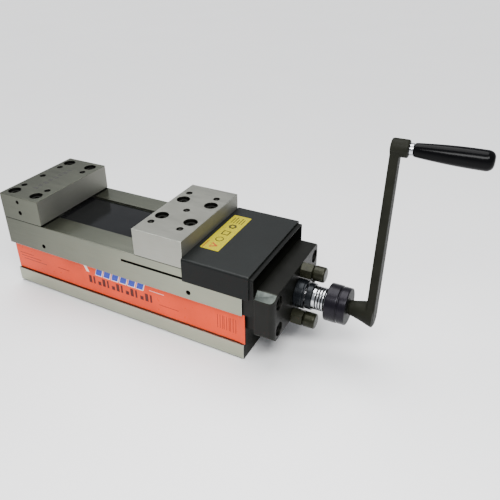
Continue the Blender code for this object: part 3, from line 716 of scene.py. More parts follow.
class VISE_OT_base(bpy.types.Operator):
    """The ground base with its foot, clamp grooves, rails and channel"""

    bl_idname = "vise.base"
    bl_label = "Base"

    def execute(self, context):
        outline = mirrored((
            (FOOT_HALF - FOOT_CHAMFER, 0.0), (FOOT_HALF, FOOT_CHAMFER),
            (FOOT_HALF, FOOT_TOP), (GROOVE_HALF, FOOT_TOP),
            (GROOVE_HALF, GROOVE_TOP), (HALF, GROOVE_TOP), (HALF, RAIL_TOP), (CHANNEL_HALF, RAIL_TOP),
            (CHANNEL_HALF, UNDERCUT_Z[1]), (UNDERCUT_HALF, UNDERCUT_Z[1]), (UNDERCUT_HALF, UNDERCUT_Z[0]),
            (CHANNEL_HALF, UNDERCUT_Z[0]), (CHANNEL_HALF, CHANNEL_FLOOR),
        ))
        bm = round_edges(prism(outline, BASE_LOW.x, BASE_HIGH.x), sizes().edge)
        for face in bm.faces:
            middle = face.calc_center_median()
            # Faces towards the crank take the near-black end finish: painted shade.
            if face.normal.x > 0.99:
                face.material_index = 3
            elif face.normal.z > 0.99 and middle.z > RAIL_TOP - 0.0001:
                face.material_index = 4
            elif abs(face.normal.y) > 0.99 and middle.z < FOOT_TOP:
                face.material_index = 5
            # Rounded edges into the channel take the near-black finish: painted shade.
            elif face.material_index == 1 and abs(middle.y) < CHANNEL_HALF + 0.001:
                face.material_index = 2
            elif face.material_index == 1 and middle.z > RAIL_TOP - 0.001:
                face.material_index = 0
        mouth = sizes().mouth
        cutters = [drilled((x, y, RAIL_TOP), (0, 0, 1), JAW_BORE, BASE_THREAD_DEPTH)
                   for x, y in FIXED_SCREWS]
        cutters += [drilled((BASE_HIGH.x, y, z), (1, 0, 0), BRACKET_BORE, END_THREAD_DEPTH)
                    for y, z in BRACKET_SCREWS]
        for side in (-1, 1):
            for x, z, radius in BASE_SIDE_HOLES:
                cutters.append(drilled((x, side * HALF, z), (0, side, 0), radius - mouth / 2,
                                       SIDE_HOLE_DEPTH))
            deep, out = sorted((side * (HALF - SIDE_SLOT_DEPTH), side * (HALF + OVER)))
            slot = block((SIDE_SLOT_START, deep, SIDE_SLOT_Z[0]), (BASE_HIGH.x + OVER, out, SIDE_SLOT_Z[1]))
            # The slot takes the near-black finish: painted shade.
            for face in slot.faces:
                face.material_index = 2
            cutters.append(slot)
        along, across = KEYWAY_HALF
        cutters += [block((x - along, -across, -OVER), (x + along, across, KEYWAY_DEPTH))
                    for x in KEYWAYS_X]
        finish_node("base_casting", bm, "ground_iron", "bare_edge", "oily_bore", "sawn_iron", "ground_way",
                    "ground_foot", cutters=cutters)
        return {"FINISHED"}


def jaw_block(node, made, edge, low, high, screws, threaded, extra, relief_x):
    """A ground jaw with its counterbores, tapped holes and a relief along the foot of its clamping face."""
    half_mouth = sizes().mouth / 2
    cutters = [counterbored((x, y, JAW_TOP), (0, 0, 1), JAW_BORE, sizes().counterbore - half_mouth,
                            JAW_SEAT_DEPTH, JAW_BORE_DEPTH) for x, y in screws]
    cutters += [tapped((x, y, JAW_TOP), (0, 0, 1), sizes().tapped_radius - half_mouth, TAPPED_DEPTH,
                       sizes().tapped_pitch) for x, y in threaded]
    undercut = block((relief_x[0], -HALF - OVER, low.z - OVER),
                     (relief_x[1], HALF + OVER, low.z + RELIEF[1]))
    # The relief takes the near-black finish: painted shade along the foot of the jaw.
    for face in undercut.faces:
        face.material_index = 2
    bm = round_edges(block(low, high), sizes().edge)
    for face in bm.faces:
        # Faces towards the crank take the darker jaw finish: painted shade.
        if face.normal.x > 0.99:
            face.material_index = 3
        # Rounded bottom edges take the near-black finish: painted shade along the jaw's foot.
        elif face.material_index == 1 and face.calc_center_median().z < low.z + sizes().edge:
            face.material_index = 2
    return finish_node(node, bm, made, edge, "oily_bore", "jaw_back", cutters=cutters + [undercut] + extra)


ETCHING_X, ETCHING_Y = -0.0455, -0.0440
ETCHING_PITCH = 0.0110
ETCHING_MARKS = 8


class VISE_OT_jaws(bpy.types.Operator):
    """The fixed jaw on the rails and the movable jaw on its slide"""

    bl_idname = "vise.jaws"
    bl_label = "Jaws"

    def execute(self, context):
        extra = [drilled((x, side * HALF, z), (0, side, 0), radius - sizes().mouth / 2, SIDE_HOLE_DEPTH)
                 for side in (-1, 1) for x, z, radius in JAW_SIDE_HOLES]
        jaw_block("fixed_jaw", "ground_iron", "ground_iron", FIXED_LOW, FIXED_HIGH, FIXED_SCREWS,
                  FIXED_TAPPED, extra, (FIXED_HIGH.x - RELIEF[0], FIXED_HIGH.x + OVER))
        bars = [bar(ETCHING_X, ETCHING_Y + ETCHING_PITCH * i, 0.0092 - 0.0020 * (i % 2), 0.0062)
                for i in range(ETCHING_MARKS)]
        marks = [label_mark(points, JAW_TOP - 0.0001, JAW_TOP + 0.00006, 0) for points in bars]
        add_piece("fixed_jaw_etching", joined(*marks), ("etched_mark",), BODY_OF["fixed_jaw"])
        extra = [drilled((MOVING_HIGH.x, y, z), (1, 0, 0), COVER_HOLE_R, 0.010, 16)
                 for y, z in COVER_SCREWS]
        jaw_block("movable_jaw", "ground_steel", "bare_edge", MOVING_LOW, MOVING_HIGH, MOVING_SCREWS,
                  MOVING_TAPPED, extra, (MOVING_LOW.x - OVER, MOVING_LOW.x + RELIEF[0]))
        return {"FINISHED"}


class VISE_OT_screws(bpy.types.Operator):
    """Every socket-head screw of the jaws, the bracket and the cover"""

    bl_idname = "vise.screws"
    bl_label = "Socket-head screws"

    def execute(self, context):
        for group, places in (("fixed_jaw_screw", FIXED_SCREWS), ("movable_jaw_screw", MOVING_SCREWS)):
            for i, (x, y) in enumerate(places):
                cap_screw(group, i + 1, (x, y, JAW_TOP - JAW_SCREW_SUNK), (0, 0, 1))
        for i, (y, z) in enumerate(BRACKET_SCREWS):
            cap_screw("bracket_screw", i + 1, (BRACKET_HIGH.x - BRACKET_SCREW_SUNK, y, z), (1, 0, 0))
        for i, (y, z) in enumerate(COVER_SCREWS):
            cap_screw("cover_screw", i + 1, (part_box(f"cover_screw_{i + 1}")[1].x, y, z), (1, 0, 0))
        return {"FINISHED"}


def folded_outline(half, top, low, sheet, bend):
    """The section of a sheet folded down at both sides: the outer line, then the inner line back."""
    def half_line(edge, height, radius):
        corner = [(edge - radius + radius * math.cos(a), height - radius + radius * math.sin(a))
                  for a in (math.pi / 2 * i / 6 for i in range(7))]
        return [(edge, low)] + corner
    outer = half_line(half, top, bend)
    inner = half_line(half - sheet, top - sheet, max(bend - sheet, 0.0004))
    return mirrored(outer) + [(-y, z) for y, z in inner] + list(reversed(inner))


class VISE_OT_cover(bpy.types.Operator):
    """The folded chip cover and the lip sheet inside its rear end"""

    bl_idname = "vise.cover"
    bl_label = "Chip cover"

    def execute(self, context):
        sheet = sizes().sheet
        half, top = COVER_HIGH.y, COVER_HIGH.z
        outline = folded_outline(half, top, COVER_LOW.z, sheet, sizes().bend)
        bm = round_edges(prism(outline, COVER_LOW.x, COVER_HIGH.x), 0.0003, 2,
                         lambda edge: edge.calc_face_angle() > math.radians(60))
        # The cover's sides take a darker copy of the coat: painted shade.
        for face in bm.faces:
            if abs(face.normal.y) > 0.9 and abs(face.calc_center_median().y) > half - 0.0005:
                face.material_index = 3
        flange = block((COVER_LOW.x, -half + 0.001, RAIL_TOP + FLANGE_GAP),
                       (COVER_LOW.x + sheet, half - 0.001, top - 0.001))
        holes = [aimed(turned([(-0.01, 0), (-0.01, COVER_HOLE_R), (0.01, COVER_HOLE_R), (0.01, 0)], 24),
                       (COVER_LOW.x, y, z), (1, 0, 0)) for y, z in COVER_SCREWS]
        finish_node("chip_cover", bm, "cover_coat", "oxide_edge", "oily_bore", "cover_side", unite=[flange],
                    cutters=holes)
        lip = folded_outline(half - sheet - 0.0001, top - sheet - LIP_GAP, COVER_LOW.z + 0.0015, LIP_SHEET,
                             sizes().bend - 0.0008)
        sheet_lip = round_edges(prism(lip, COVER_LOW.x + sheet, COVER_HIGH.x + sizes().lip_reach), 0.0002, 2,
                                lambda edge: edge.calc_face_angle() > math.radians(60))
        # The lip sheet takes the dull black: painted shade inside the cover's rear end.
        add_piece("cover_inner_lip", sheet_lip, ("lip_black", "oxide_edge"), "slide")
        return {"FINISHED"}


def label_mark(points, low_z, high_z, index):
    """A flat mark of (x, y) points on the label."""
    bm = bmesh.new()
    face = bm.faces.new([bm.verts.new((x, y, low_z)) for x, y in points])
    moved = bmesh.ops.extrude_face_region(bm, geom=[face])
    tips = [v for v in moved["geom"] if isinstance(v, bmesh.types.BMVert)]
    bmesh.ops.translate(bm, verts=tips, vec=(0, 0, high_z - low_z))
    bmesh.ops.recalc_face_normals(bm, faces=bm.faces)
    for face in bm.faces:
        face.material_index = index
    return bm


def polygon(x, y, radius, sides):
    angles = [math.tau * i / sides for i in range(sides)]
    return [(x + radius * math.cos(angle), y + radius * math.sin(angle)) for angle in angles]


def bar(x, y, wide, high):
    return [(x, y), (x + wide, y), (x + wide, y + high), (x, y + high)]


class VISE_OT_label(bpy.types.Operator):
    """The label on the cover, with plain pictograms"""

    bl_idname = "vise.label"
    bl_label = "Cover label"

    def execute(self, context):
        low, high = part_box("cover_label")
        corner = 0.0016
        outline = []
        for x, y, start in ((high.x, high.y, 0), (low.x, high.y, 1), (low.x, low.y, 2), (high.x, low.y, 3)):
            inside_x = x + (corner if x == low.x else -corner)
            inside_y = y + (corner if y == low.y else -corner)
            outline += [(inside_x + corner * math.cos(a), inside_y + corner * math.sin(a))
                        for a in (math.pi / 2 * (start + i / 4) for i in range(5))]
        finish_node("cover_label", label_mark(outline, low.z, high.z - 0.0001, 0), "label_film")
        floor, top = high.z - 0.00015, high.z
        middle = (low.x + high.x) / 2
        marks = [(polygon(middle, low.y + 0.012, 0.0075, 3), 1),
                 (polygon(middle - 0.001, low.y + 0.012, 0.0040, 3), 2)]
        marks += [(polygon(middle, low.y + 0.030, 0.0062, 24), 0),
                  (polygon(middle, low.y + 0.030, 0.0046, 24), 2)]
        marks += [(bar(middle - 0.0058, low.y + 0.043, 0.0116, 0.0116), 0),
                  (bar(middle - 0.0040, low.y + 0.0448, 0.0080, 0.0080), 2)]
        marks += [(polygon(middle, low.y + 0.069, 0.0066, 6), 0),
                  (polygon(middle, low.y + 0.069, 0.0030, 6), 2)]
        for i, reach in enumerate((0.016, 0.019, 0.013, 0.018, 0.015)):
            marks.append((bar(low.x + 0.0050 + 0.0042 * i, low.y + 0.079, 0.0013, reach), 0))
        marks.append((bar(low.x + 0.0022, low.y + 0.0015, 0.0012, 0.0200), 1))
        shapes = [label_mark(points, floor, top + 0.00001 * (index == 2), index) for points, index in marks]
        add_piece("cover_label_marks", joined(*shapes), ("label_ink", "label_red", "label_film"), "slide")
        return {"FINISHED"}


def smoothstep(value, low, high):
    t = min(max((value - low) / (high - low), 0.0), 1.0)
    return t * t * (3 - 2 * t)


def film_lift(x, z, side):
    """How far the band stands off its groove: waves, creases near the rear and a raised end."""
    depth = sizes().crease
    wave = noise.noise(Vector((x * 22, z * 30, side * 3.1))) * 0.35
    wave += noise.noise(Vector((x * 70, z * 45, 7.0))) * 0.2
    rear = smoothstep(x, BASE_HIGH.x - 0.085, BASE_HIGH.x - 0.020)
    crease = abs(noise.noise(Vector((x * 190 + z * 25, z * 9, side * 5.3)))) * 1.5
    end = smoothstep(x, BASE_HIGH.x - 0.018, BASE_HIGH.x) ** 2
    return max(depth * (0.35 + wave + rear * crease) + 0.0014 * end, 0.0)


def band_piece(side, node):
    low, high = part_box(node)
    inner = GROOVE_HALF + CLOSE_GAP

    def place(u, v, back):
        x = low.x + (high.x - low.x) * u
        z = low.z + (high.z - low.z) * v
        y = inner + film_lift(x, z, side) + (0.0 if back else sizes().film)
        return (x, side * y, z)
    finish_node(node, slab(360, 20, place), "band_film", sharp=60)


def band_mark(side, x, z, wide, high, slant, index, rise=0.00006):
    """A slanted print bar that follows the band's surface."""
    inner = GROOVE_HALF + CLOSE_GAP + sizes().film
    across = max(2, int(wide / 0.0012))
    upward = max(2, int(high / 0.0020))

    def place(u, v, back):
        px = x + wide * u + slant * v
        pz = z + high * v
        y = inner + film_lift(px, pz, side) + (-0.0001 if back else rise)
        return (px, side * y, pz)
    bm = slab(across, upward, place)
    for face in bm.faces:
        face.material_index = index
    return bm


class VISE_OT_bands(bpy.types.Operator):
    """The long printed bands in the clamp grooves, with plain stripes for print"""

    bl_idname = "vise.bands"
    bl_label = "Printed bands"

    def execute(self, context):
        for side, node in ((-1, "side_band_near"), (1, "side_band_far")):
            band_piece(side, node)
            shapes = [band_mark(side, *line) for line in BAND_LINES]
            first, pitch, count, z = BLOCK_ROW
            for x in (first + pitch * i for i in range(count)):
                shapes.append(band_mark(side, x - 0.0012, z - 0.0012, 0.0140, 0.0154, 0.0050, 2, 0.00004))
                shapes.append(band_mark(side, x, z, 0.0116, 0.0130, 0.0042, 1, 0.00010))
            first, pitch, count, z = BAR_ROW
            for i in range(count):
                wide, high = ((0.0058, 0.0135), (0.0034, 0.0135), (0.0060, 0.0068))[i % 3]
                shapes.append(band_mark(side, first + pitch * i, z, wide, high, 0.0, 0))
            first, pitch, count, z = TICK_ROW
            for i in range(count):
                x = first + pitch * i + 0.0006 * (i % 3)
                shapes.append(band_mark(side, x, z, 0.0007, 0.0230, 0.0, 0))
            name = node.replace("side_band", "band_print")
            add_piece(name, joined(*shapes), ("band_ink", "band_blue", "band_white"), "base",
                      sharp=60)
        return {"FINISHED"}


class VISE_OT_slide(bpy.types.Operator):
    """The slide under the movable jaw, its nut and the plate that shields the channel"""

    bl_idname = "vise.slide"
    bl_label = "Slide, nut and way plate"

    def execute(self, context):
        inside, wide = CHANNEL_HALF - CLOSE_GAP, UNDERCUT_HALF - CLOSE_GAP
        foot, shoulder = UNDERCUT_Z[0] + CLOSE_GAP, UNDERCUT_Z[1] - CLOSE_GAP
        outline = mirrored(((inside, SLIDE_LOW.z), (inside, foot), (wide, foot), (wide, shoulder),
                            (inside, shoulder), (inside, SLIDE_HIGH.z)))
        bm = round_edges(prism(outline, SLIDE_LOW.x, SLIDE_HIGH.x), 0.0008)
        cutters = [aimed(turned([(-0.20, 0), (-0.20, SLIDE_BORE), (0.02, SLIDE_BORE), (0.02, 0)], 64),
                         (SLIDE_HIGH.x, 0, SPINDLE_Z), (1, 0, 0))]
        cutters += [drilled((x, y, SLIDE_HIGH.z), (0, 0, 1), JAW_BORE, SLIDE_THREAD_DEPTH)
                    for x, y in MOVING_SCREWS]
        finish_node("jaw_slide", bm, "machined_iron", "bare_edge", "oily_bore", cutters=cutters)
        bore, body = SPINDLE_R + RUNNING_GAP, SLIDE_BORE - 0.0001
        step = SLIDE_HIGH.x + CLOSE_GAP
        nut = [(NUT_LOW.x, bore), (NUT_LOW.x, body), (step, body), (step, NUT_HIGH.y),
               (NUT_HIGH.x, NUT_HIGH.y), (NUT_HIGH.x, bore)]
        finish_node("spindle_nut", turned(softened(nut, 0.0008), 64, AXIS), "bronze", sharp=40)
        low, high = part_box("way_cover_plate")
        finish_node("way_cover_plate", round_edges(block(low, high), 0.0004), "polished_plate", "bare_edge")
        return {"FINISHED"}


def stud_places():
    found = {}
    for name in ("upper", "lower"):
        low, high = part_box("stud_" + name)
        found[name] = ((low.y + high.y) / 2, (low.z + high.z) / 2)
    return found


class VISE_OT_bracket(bpy.types.Operator):
    """The rear bracket that takes the spindle's thrust"""

    bl_idname = "vise.bracket"
    bl_label = "Rear bracket"

    def execute(self, context):
        start, end, top, low = BRACKET_LOW.x, BRACKET_HIGH.x, BRACKET_HIGH.z, BRACKET_LOW.z
        plate_start = end - BRACKET_PLATE
        outline = mirrored(((HALF - BRACKET_LOW_CUT, low), (HALF, low + BRACKET_LOW_CUT),
                            (HALF, top - BRACKET_TOP_CUT), (HALF - BRACKET_TOP_CUT, top)))
        plate = prism(outline, plate_start, end)
        round_edges(plate, sizes().corner, 8,
                    lambda edge: all(abs(v.co.y) > HALF - 1e-5 and v.co.x > end - 1e-5 for v in edge.verts))
        plate.normal_update()
        # The upper chamfer faces take the lighter finish: painted highlight.
        for face in plate.faces:
            face.material_index = 3 * (face.normal.z > 0.5 and abs(face.normal.y) > 0.5)
        round_edges(plate, 0.0008, 2, lambda edge: edge.calc_face_angle() > math.radians(40))
        neck_end, neck_top = plate_start + 0.001, top - BRACKET_NECK_DROP
        necks = [block((start, -half, foot), (neck_end, half, neck_top)) for half, foot in BRACKET_NECKS]
        bore, (pocket, floor) = SPINDLE_R + RUNNING_GAP, BEARING_POCKET
        bearing = [(-0.06, 0), (-0.06, pocket), (-floor, pocket), (-floor, bore), (0.01, bore), (0.01, 0)]
        cutters = [aimed(turned(bearing, 64), (end, 0, SPINDLE_Z), (1, 0, 0))]
        cutters += [counterbored((end, y, z), (1, 0, 0), BRACKET_BORE, BRACKET_SEAT_R - sizes().mouth / 2,
                                 BRACKET_SEAT_DEPTH, 0.06) for y, z in BRACKET_SCREWS]
        cutters += [drilled((end, y, z), (1, 0, 0), STUD_BORE, STUD_DEPTH)
                    for y, z in stud_places().values()]
        finish_node("rear_bracket", plate, "black_oxide", "oxide_edge", "oily_bore", "worn_facet", unite=necks,
                    cutters=cutters)
        return {"FINISHED"}


class VISE_OT_studs(bpy.types.Operator):
    """The two studs beside the spindle, each with its hex nut"""

    bl_idname = "vise.studs"
    bl_label = "Studs and nuts"

    def execute(self, context):
        for name, centre in stud_places().items():
            low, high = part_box("stud_" + name)
            nut_low, nut_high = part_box("stud_nut_" + name)
            radius = (high.y - low.y) / 2
            step = nut_high.x + 0.001
            profile = [(low.x, 0), (low.x, STUD_SHANK), (step, STUD_SHANK), (step, radius), (high.x, radius),
                       (high.x, 0)]
            finish_node("stud_" + name, turned(softened(profile, 0.0030, 6), 56, centre), "olive_steel",
                        sharp=40)
            flats = sizes().nut
            across = flats / math.sqrt(3)
            start, end = nut_low.x, nut_high.x
            nut = hexagon(start, end, flats, centre, NUT_TURN)
            cone = [(start - 0.001, 0), (start - 0.001, across - 0.0030), (start + 0.0011, across + 0.0006),
                    (end - 0.0011, across + 0.0006), (end + 0.001, across - 0.0030), (end + 0.001, 0)]
            bore = [(start - 0.01, 0), (start - 0.01, STUD_BORE), (end + 0.01, STUD_BORE), (end + 0.01, 0)]
            obj = finish_node("stud_nut_" + name, nut, "olive_steel", "oxide_edge",
                              cutters=[turned(bore, 40, centre)], sharp=25)
            boolean(obj, turned(cone, 64, centre), ("olive_steel", "oxide_edge"), "INTERSECT")
            obj.data.shade_smooth()
            obj.data.set_sharp_from_angle(angle=math.radians(25))
        return {"FINISHED"}


class VISE_OT_bearings(bpy.types.Operator):
    """The collar outside the bracket and the thrust bearing inside it"""

    bl_idname = "vise.bearings"
    bl_label = "Collar and thrust bearing"

    def execute(self, context):
        bore, radius = SPINDLE_R + RUNNING_GAP, COLLAR_HIGH.y
        start, end = COLLAR_LOW.x, COLLAR_HIGH.x
        profile = [(start, bore), (start, radius), (end - 0.0035, radius), (end - 0.0033, radius - 0.0006),
                   (end - 0.0026, radius - 0.0006), (end - 0.0024, radius), (end, radius), (end, bore)]
        finish_node("bearing_collar", turned(softened(profile, 0.0010), 72, AXIS), "collar_oxide", sharp=40)
        for node in ("thrust_race_front", "thrust_race_rear", "thrust_cage"):
            keep_node(node, "bearing_steel")
        return {"FINISHED"}


def thread_radius(x, angle, start, end):
    """The spindle's radius at a place and an angle: a trapezoid thread that fades in and out."""
    crest, depth, pitch = SPINDLE_R, sizes().thread_depth, sizes().thread_pitch
    phase = (x / pitch - angle / math.tau) % 1.0
    root = smoothstep(abs(phase - 0.5), 0.16, 0.30)
    fade = smoothstep(x, start, start + 0.004) * (1 - smoothstep(x, end - 0.006, end))
    return crest - depth * (1 - root) * fade


class VISE_OT_spindle(bpy.types.Operator):
    """The spindle with its real thread, and its thrust shoulder"""

    bl_idname = "vise.spindle"
    bl_label = "Spindle"

    def execute(self, context):
        start, end = SPINDLE_LOW.x, THREAD_END
        rings = int((end - start) / 0.0005)
        around = 40
        angles = [math.tau * j / around for j in range(around)]
        bm = bmesh.new()
        rows = []

        def add_ring(x, radii):
            rows.append([bm.verts.new((x, radius * math.cos(angle), SPINDLE_Z + radius * math.sin(angle)))
                         for radius, angle in zip(radii, angles)])
        for i in range(rings + 1):
            x = start + (end - start) * i / rings
            taper = 0.0015 * (1 - smoothstep(x, start, start + 0.002))
            add_ring(x, [thread_radius(x, angle, start + 0.002, end) - taper for angle in angles])
        near, far, collar = SHOULDER
        for x, radius in ((near, SPINDLE_R), (near, collar), (far, collar), (far, SPINDLE_R),
                          (SPINDLE_HIGH.x - 0.0008, SPINDLE_R), (SPINDLE_HIGH.x, SPINDLE_R - 0.0008)):
            add_ring(x, [radius] * around)
        for a, b in zip(rows, rows[1:]):
            for j in range(around):
                bm.faces.new((a[j], a[(j + 1) % around], b[(j + 1) % around], b[j]))
        bm.faces.new(rows[0])
        bm.faces.new(rows[-1])
        bmesh.ops.recalc_face_normals(bm, faces=bm.faces)
        finish_node("spindle_screw", bm, "bearing_steel", sharp=40)
        return {"FINISHED"}


class VISE_OT_booster(bpy.types.Operator):
    """The chrome sleeve with its force rings, the detent ring and the drive hub"""

    bl_idname = "vise.booster"
    bl_label = "Sleeve, ring and hub"

    def execute(self, context):
        radius, start, end = SLEEVE_HIGH.y, SLEEVE_LOW.x, SLEEVE_HIGH.x
        profile = [(start, ROD_BORE), (start, radius)]
        for i in range(FORCE_RINGS):
            x = start + 0.0042 + 0.0038 * i
            profile += [(x, radius), (x + 0.0004, radius - 0.0012), (x + 0.0012, radius - 0.0012),
                        (x + 0.0016, radius)]
        profile += [(end, radius), (end, ROD_BORE)]
        sleeve = turned(softened(profile, 0.0004, 2), 80)
        # Groove faces take the near-black finish: painted shade in the grooves.
        for face in sleeve.faces:
            middle = face.calc_center_median()
            face.material_index = int(math.hypot(middle.y, middle.z) < radius - 0.0006)
        bmesh.ops.translate(sleeve, verts=sleeve.verts, vec=(0, *AXIS))
        finish_node("force_sleeve", sleeve, "chrome", "oily_bore", sharp=40)
        bore = SPINDLE_R + RUNNING_GAP
        start, end, radius = RING_LOW.x, RING_HIGH.x, RING_HIGH.y
        ring = [(start, bore), (start, radius), (end, radius), (end, bore)]
        finish_node("detent_ring", turned(softened(ring, 0.0009), 72, AXIS), "collar_oxide", sharp=40)
        self.hub()
        keep_node("booster_rod", "bearing_steel")
        return {"FINISHED"}

    def hub(self):
        start, end, radius = HUB_LOW.x, HUB_HIGH.x, HUB_HIGH.y
        step, small, pocket = start + HUB_STEP, radius - 0.0006, SLEEVE_HIGH.y + CLOSE_GAP
        groove, floor = radius - 0.0016, start + HUB_POCKET
        profile = [(start, pocket), (start, radius), (step - 0.0022, radius), (step - 0.0022, groove),
                   (step - 0.0003, groove), (step - 0.0003, small), (end, small), (end, 0.0),
                   (floor, 0.0), (floor, pocket)]
        socket = hexagon(start + HUB_SOCKET, end + OVER, SOCKET_FLATS, AXIS)
        # The hex socket takes the dull black: painted shade.
        for face in socket.faces:
            face.material_index = 1
        hub = turned(softened(profile, 0.0016, 4), 96, AXIS)
        # Faces towards the crank take the dull black: painted shade.
        for face in hub.faces:
            face.material_index = int(face.normal.x > 0.9)
        finish_node("drive_hub", hub, "violet_oxide", "lip_black", cutters=[socket], sharp=40)


def arm_outline():
    """The arm seen along X: a tapered bar with round ends, leaning with the crank."""
    up = Vector((math.sin(CRANK_LEAN), math.cos(CRANK_LEAN)))
    side = Vector((up.y, -up.x))
    foot = Vector(AXIS) - up * ARM_FOOT_DROP
    top = Vector(GRIP_AXIS)
    points = []
    for centre, radius, turn in ((foot, ARM_FOOT_R, math.pi), (top, ARM_TOP_R, 0.0)):
        for i in range(13):
            angle = turn + math.pi * i / 12
            points.append(centre + side * (radius * math.cos(angle)) + up * (radius * math.sin(angle)))
    return [(point.x, point.y) for point in points]


class VISE_OT_crank(bpy.types.Operator):
    """The forged crank: hex tail, flared neck, tapered arm and the boss for the handle"""

    bl_idname = "vise.crank"
    bl_label = "Crank"

    def execute(self, context):
        low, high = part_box("crank_arm")
        boss_end = high.x
        neck = [(HUB_HIGH.x + 0.0006, 0), (HUB_HIGH.x + 0.0006, 0.0100), (0.4740, 0.0105), (0.4860, 0.0135),
                (ARM_END - 0.002, 0.0180), (ARM_END - 0.001, 0.0175), (ARM_END - 0.001, 0)]
        boss = [(ARM_START - 0.0005, 0), (ARM_START - 0.0005, BOSS_R - 0.0013), (ARM_START + 0.001, BOSS_R),
                (boss_end - 0.001, BOSS_R), (boss_end, BOSS_R - 0.001), (boss_end, 0)]
        whole = joined(turned(softened(neck, 0.002), 48, AXIS), turned(softened(boss, 0.002), 48, GRIP_AXIS),
                       round_edges(prism(arm_outline(), ARM_START, ARM_END), 0.0022, 3))
        forging = scene_object("crank_forging", whole, ())
        block_step = forging.modifiers.new("blend", "REMESH")
        block_step.mode = "VOXEL"
        block_step.voxel_size = sizes().forging
        soften = forging.modifiers.new("soften", "SMOOTH")
        soften.factor = 0.5
        soften.iterations = sizes().forging_rounds
        settle(forging)
        bm = bmesh.new()
        bm.from_mesh(forging.data)
        bpy.data.objects.remove(forging, do_unlink=True)
        for face in bm.faces:
            face.material_index = 0
        tail = round_edges(hexagon(low.x, HUB_HIGH.x + 0.004, TAIL_FLATS, AXIS), 0.0006)
        finish_node("crank_arm", bm, "forged_black", "oxide_edge", unite=[tail], sharp=60)
        return {"FINISHED"}


class VISE_OT_handle(bpy.types.Operator):
    """The chrome pin on the crank and the plastic grip that turns on it"""

    bl_idname = "vise.handle"
    bl_label = "Handle"

    def execute(self, context):
        start, end, shoulder = PIN_LOW.x, PIN_HIGH.x, GRIP_LOW.x - 0.0005
        pin = [(start, 0), (start, FERRULE_R), (shoulder, FERRULE_R), (shoulder, PIN_R), (end, PIN_R),
               (end, 0)]
        finish_node("handle_pin", turned(softened(pin, 0.0008), 56, GRIP_AXIS), "chrome", sharp=40)
        start, end, bore = GRIP_LOW.x, GRIP_HIGH.x, PIN_R + RUNNING_GAP
        reach, widest, cap = end - start, (GRIP_HIGH.y - GRIP_LOW.y) / 2, 0.0085
        grip = [(start, bore), (start, 0.0074), (start + 0.0006, 0.0080)]
        for i in range(1, 21):
            share = i / 20
            swell = math.sin(math.pi / 2 * min(share * 1.12, 1.0)) ** 0.9
            grip.append((start + 0.0006 + (reach - cap - 0.0006) * share,
                         0.0081 + (widest - 0.0081) * swell))
        for i in range(1, 10):
            angle = math.pi / 2 * i / 10
            grip.append((end - cap + cap * math.sin(angle),
                         0.0018 + (widest - 0.0018) * math.cos(angle) ** 0.72))
        grip += [(end, 0.0018), (end, 0), (GRIP_BORE_END, 0), (GRIP_BORE_END, bore)]
        finish_node("handle_grip", turned(grip, 72, GRIP_AXIS), "grip_plastic", sharp=60)
        return {"FINISHED"}


def area_light(name, place, target, size, power):
    lamp = bpy.data.lights.new(name, "AREA")
    lamp.shape = "RECTANGLE"
    lamp.size, lamp.size_y = size
    lamp.energy = power
    obj = bpy.data.objects.new(name, lamp)
    bpy.context.scene.collection.objects.link(obj)
    obj.location = place
    obj.rotation_euler = (Vector(target) - Vector(place)).to_track_quat("-Z", "Y").to_euler()
    obj.visible_camera = False


def add_sun():
    """The wide overhead light, which drops soft shadows towards the crank and the near side."""
    stage = bpy.context.scene.vise_stage
    lamp = bpy.data.lights.new("overhead_light", "SUN")
    lamp.energy = stage.sun
    lamp.angle = stage.spread
    obj = bpy.data.objects.new("overhead_light", lamp)
    bpy.context.scene.collection.objects.link(obj)
    obj.rotation_euler = Vector(SUN_FROM).to_track_quat("Z", "Y").to_euler()


def add_camera():
    stage = bpy.context.scene.vise_stage
    a, e, roll = stage.azimuth, stage.elevation, stage.roll
    back = Vector((math.sin(a) * math.cos(e), -math.cos(a) * math.cos(e), math.sin(e)))
    right = (-back).cross(Vector((0, 0, 1))).normalized()
    up = back.cross(right)
    across = right * math.cos(roll) + up * math.sin(roll)
    upward = up * math.cos(roll) - right * math.sin(roll)
    lens = bpy.data.cameras.new("studio_camera")
    lens.sensor_width = 36.0
    lens.lens = stage.lens
    lens.shift_x, lens.shift_y = stage.shift
    lens.clip_start = 0.01
    camera = bpy.data.objects.new("studio_camera", lens)
    turn = Matrix((across, upward, back)).transposed().to_4x4()
    camera.matrix_world = Matrix.Translation(Vector(stage.eye)) @ turn
    bpy.context.scene.collection.objects.link(camera)
    bpy.context.scene.camera = camera


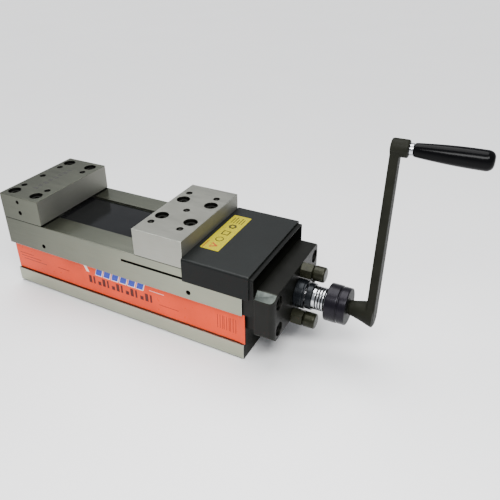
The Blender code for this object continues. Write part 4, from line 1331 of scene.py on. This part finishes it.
class VISE_OT_stage(bpy.types.Operator):
    """The pale floor, the soft lights, the surroundings and the camera"""

    bl_idname = "vise.stage"
    bl_label = "Studio"

    def execute(self, context):
        stage = context.scene.vise_stage
        bm = bmesh.new()
        bmesh.ops.create_grid(bm, x_segments=2, y_segments=2, size=FLOOR_HALF)
        bmesh.ops.translate(bm, verts=bm.verts, vec=(0, 0, -FLOOR_DROP))
        floor = scene_object("studio_floor", bm, ("studio_floor",))
        add_sun()
        area_light("side_light", SIDE_LIGHT_PLACE, SIDE_LIGHT_TARGET, SIDE_LIGHT_SIZE, stage.fill)
        world = bpy.data.worlds.new("studio_sky")
        world.use_nodes = True
        shader = world.node_tree.nodes["Background"]
        shader.inputs["Color"].default_value = SKY
        shader.inputs["Strength"].default_value = stage.sky
        context.scene.world = world
        add_camera()
        return {"FINISHED"}


OPERATORS = (VISE_OT_base, VISE_OT_jaws, VISE_OT_screws, VISE_OT_cover, VISE_OT_label, VISE_OT_bands,
             VISE_OT_slide, VISE_OT_bracket, VISE_OT_studs, VISE_OT_bearings, VISE_OT_spindle,
             VISE_OT_booster, VISE_OT_crank, VISE_OT_handle, VISE_OT_stage)


class VISE_PT_panel(bpy.types.Panel):
    """The vise's sizes and colours, and a button for each group of pieces"""

    bl_idname = "VISE_PT_panel"
    bl_label = "Machine vise"
    bl_space_type = "VIEW_3D"
    bl_region_type = "UI"
    bl_category = "Vise"

    def draw(self, context):
        for operator in OPERATORS:
            self.layout.operator(operator.bl_idname)
        for group in (context.scene.vise_sizes, context.scene.vise_colours, context.scene.vise_stage):
            box = self.layout.box()
            for name in group.bl_rna.properties.keys():
                if name not in ("rna_type", "name"):
                    box.prop(group, name)


GROUPS = {"vise_sizes": ViseSizes, "vise_colours": ViseColours, "vise_stage": ViseStage}


def register():
    for name, group in GROUPS.items():
        bpy.utils.register_class(group)
        setattr(bpy.types.Scene, name, PointerProperty(type=group))
    for each in (*OPERATORS, VISE_PT_panel):
        bpy.utils.register_class(each)


def unregister():
    for each in reversed((*OPERATORS, VISE_PT_panel)):
        bpy.utils.unregister_class(each)
    for name, group in GROUPS.items():
        delattr(bpy.types.Scene, name)
        bpy.utils.unregister_class(group)


def main():
    register()
    for operator in OPERATORS:
        group, name = operator.bl_idname.split(".")
        getattr(getattr(bpy.ops, group), name)()


if __name__ == "__main__":
    main()
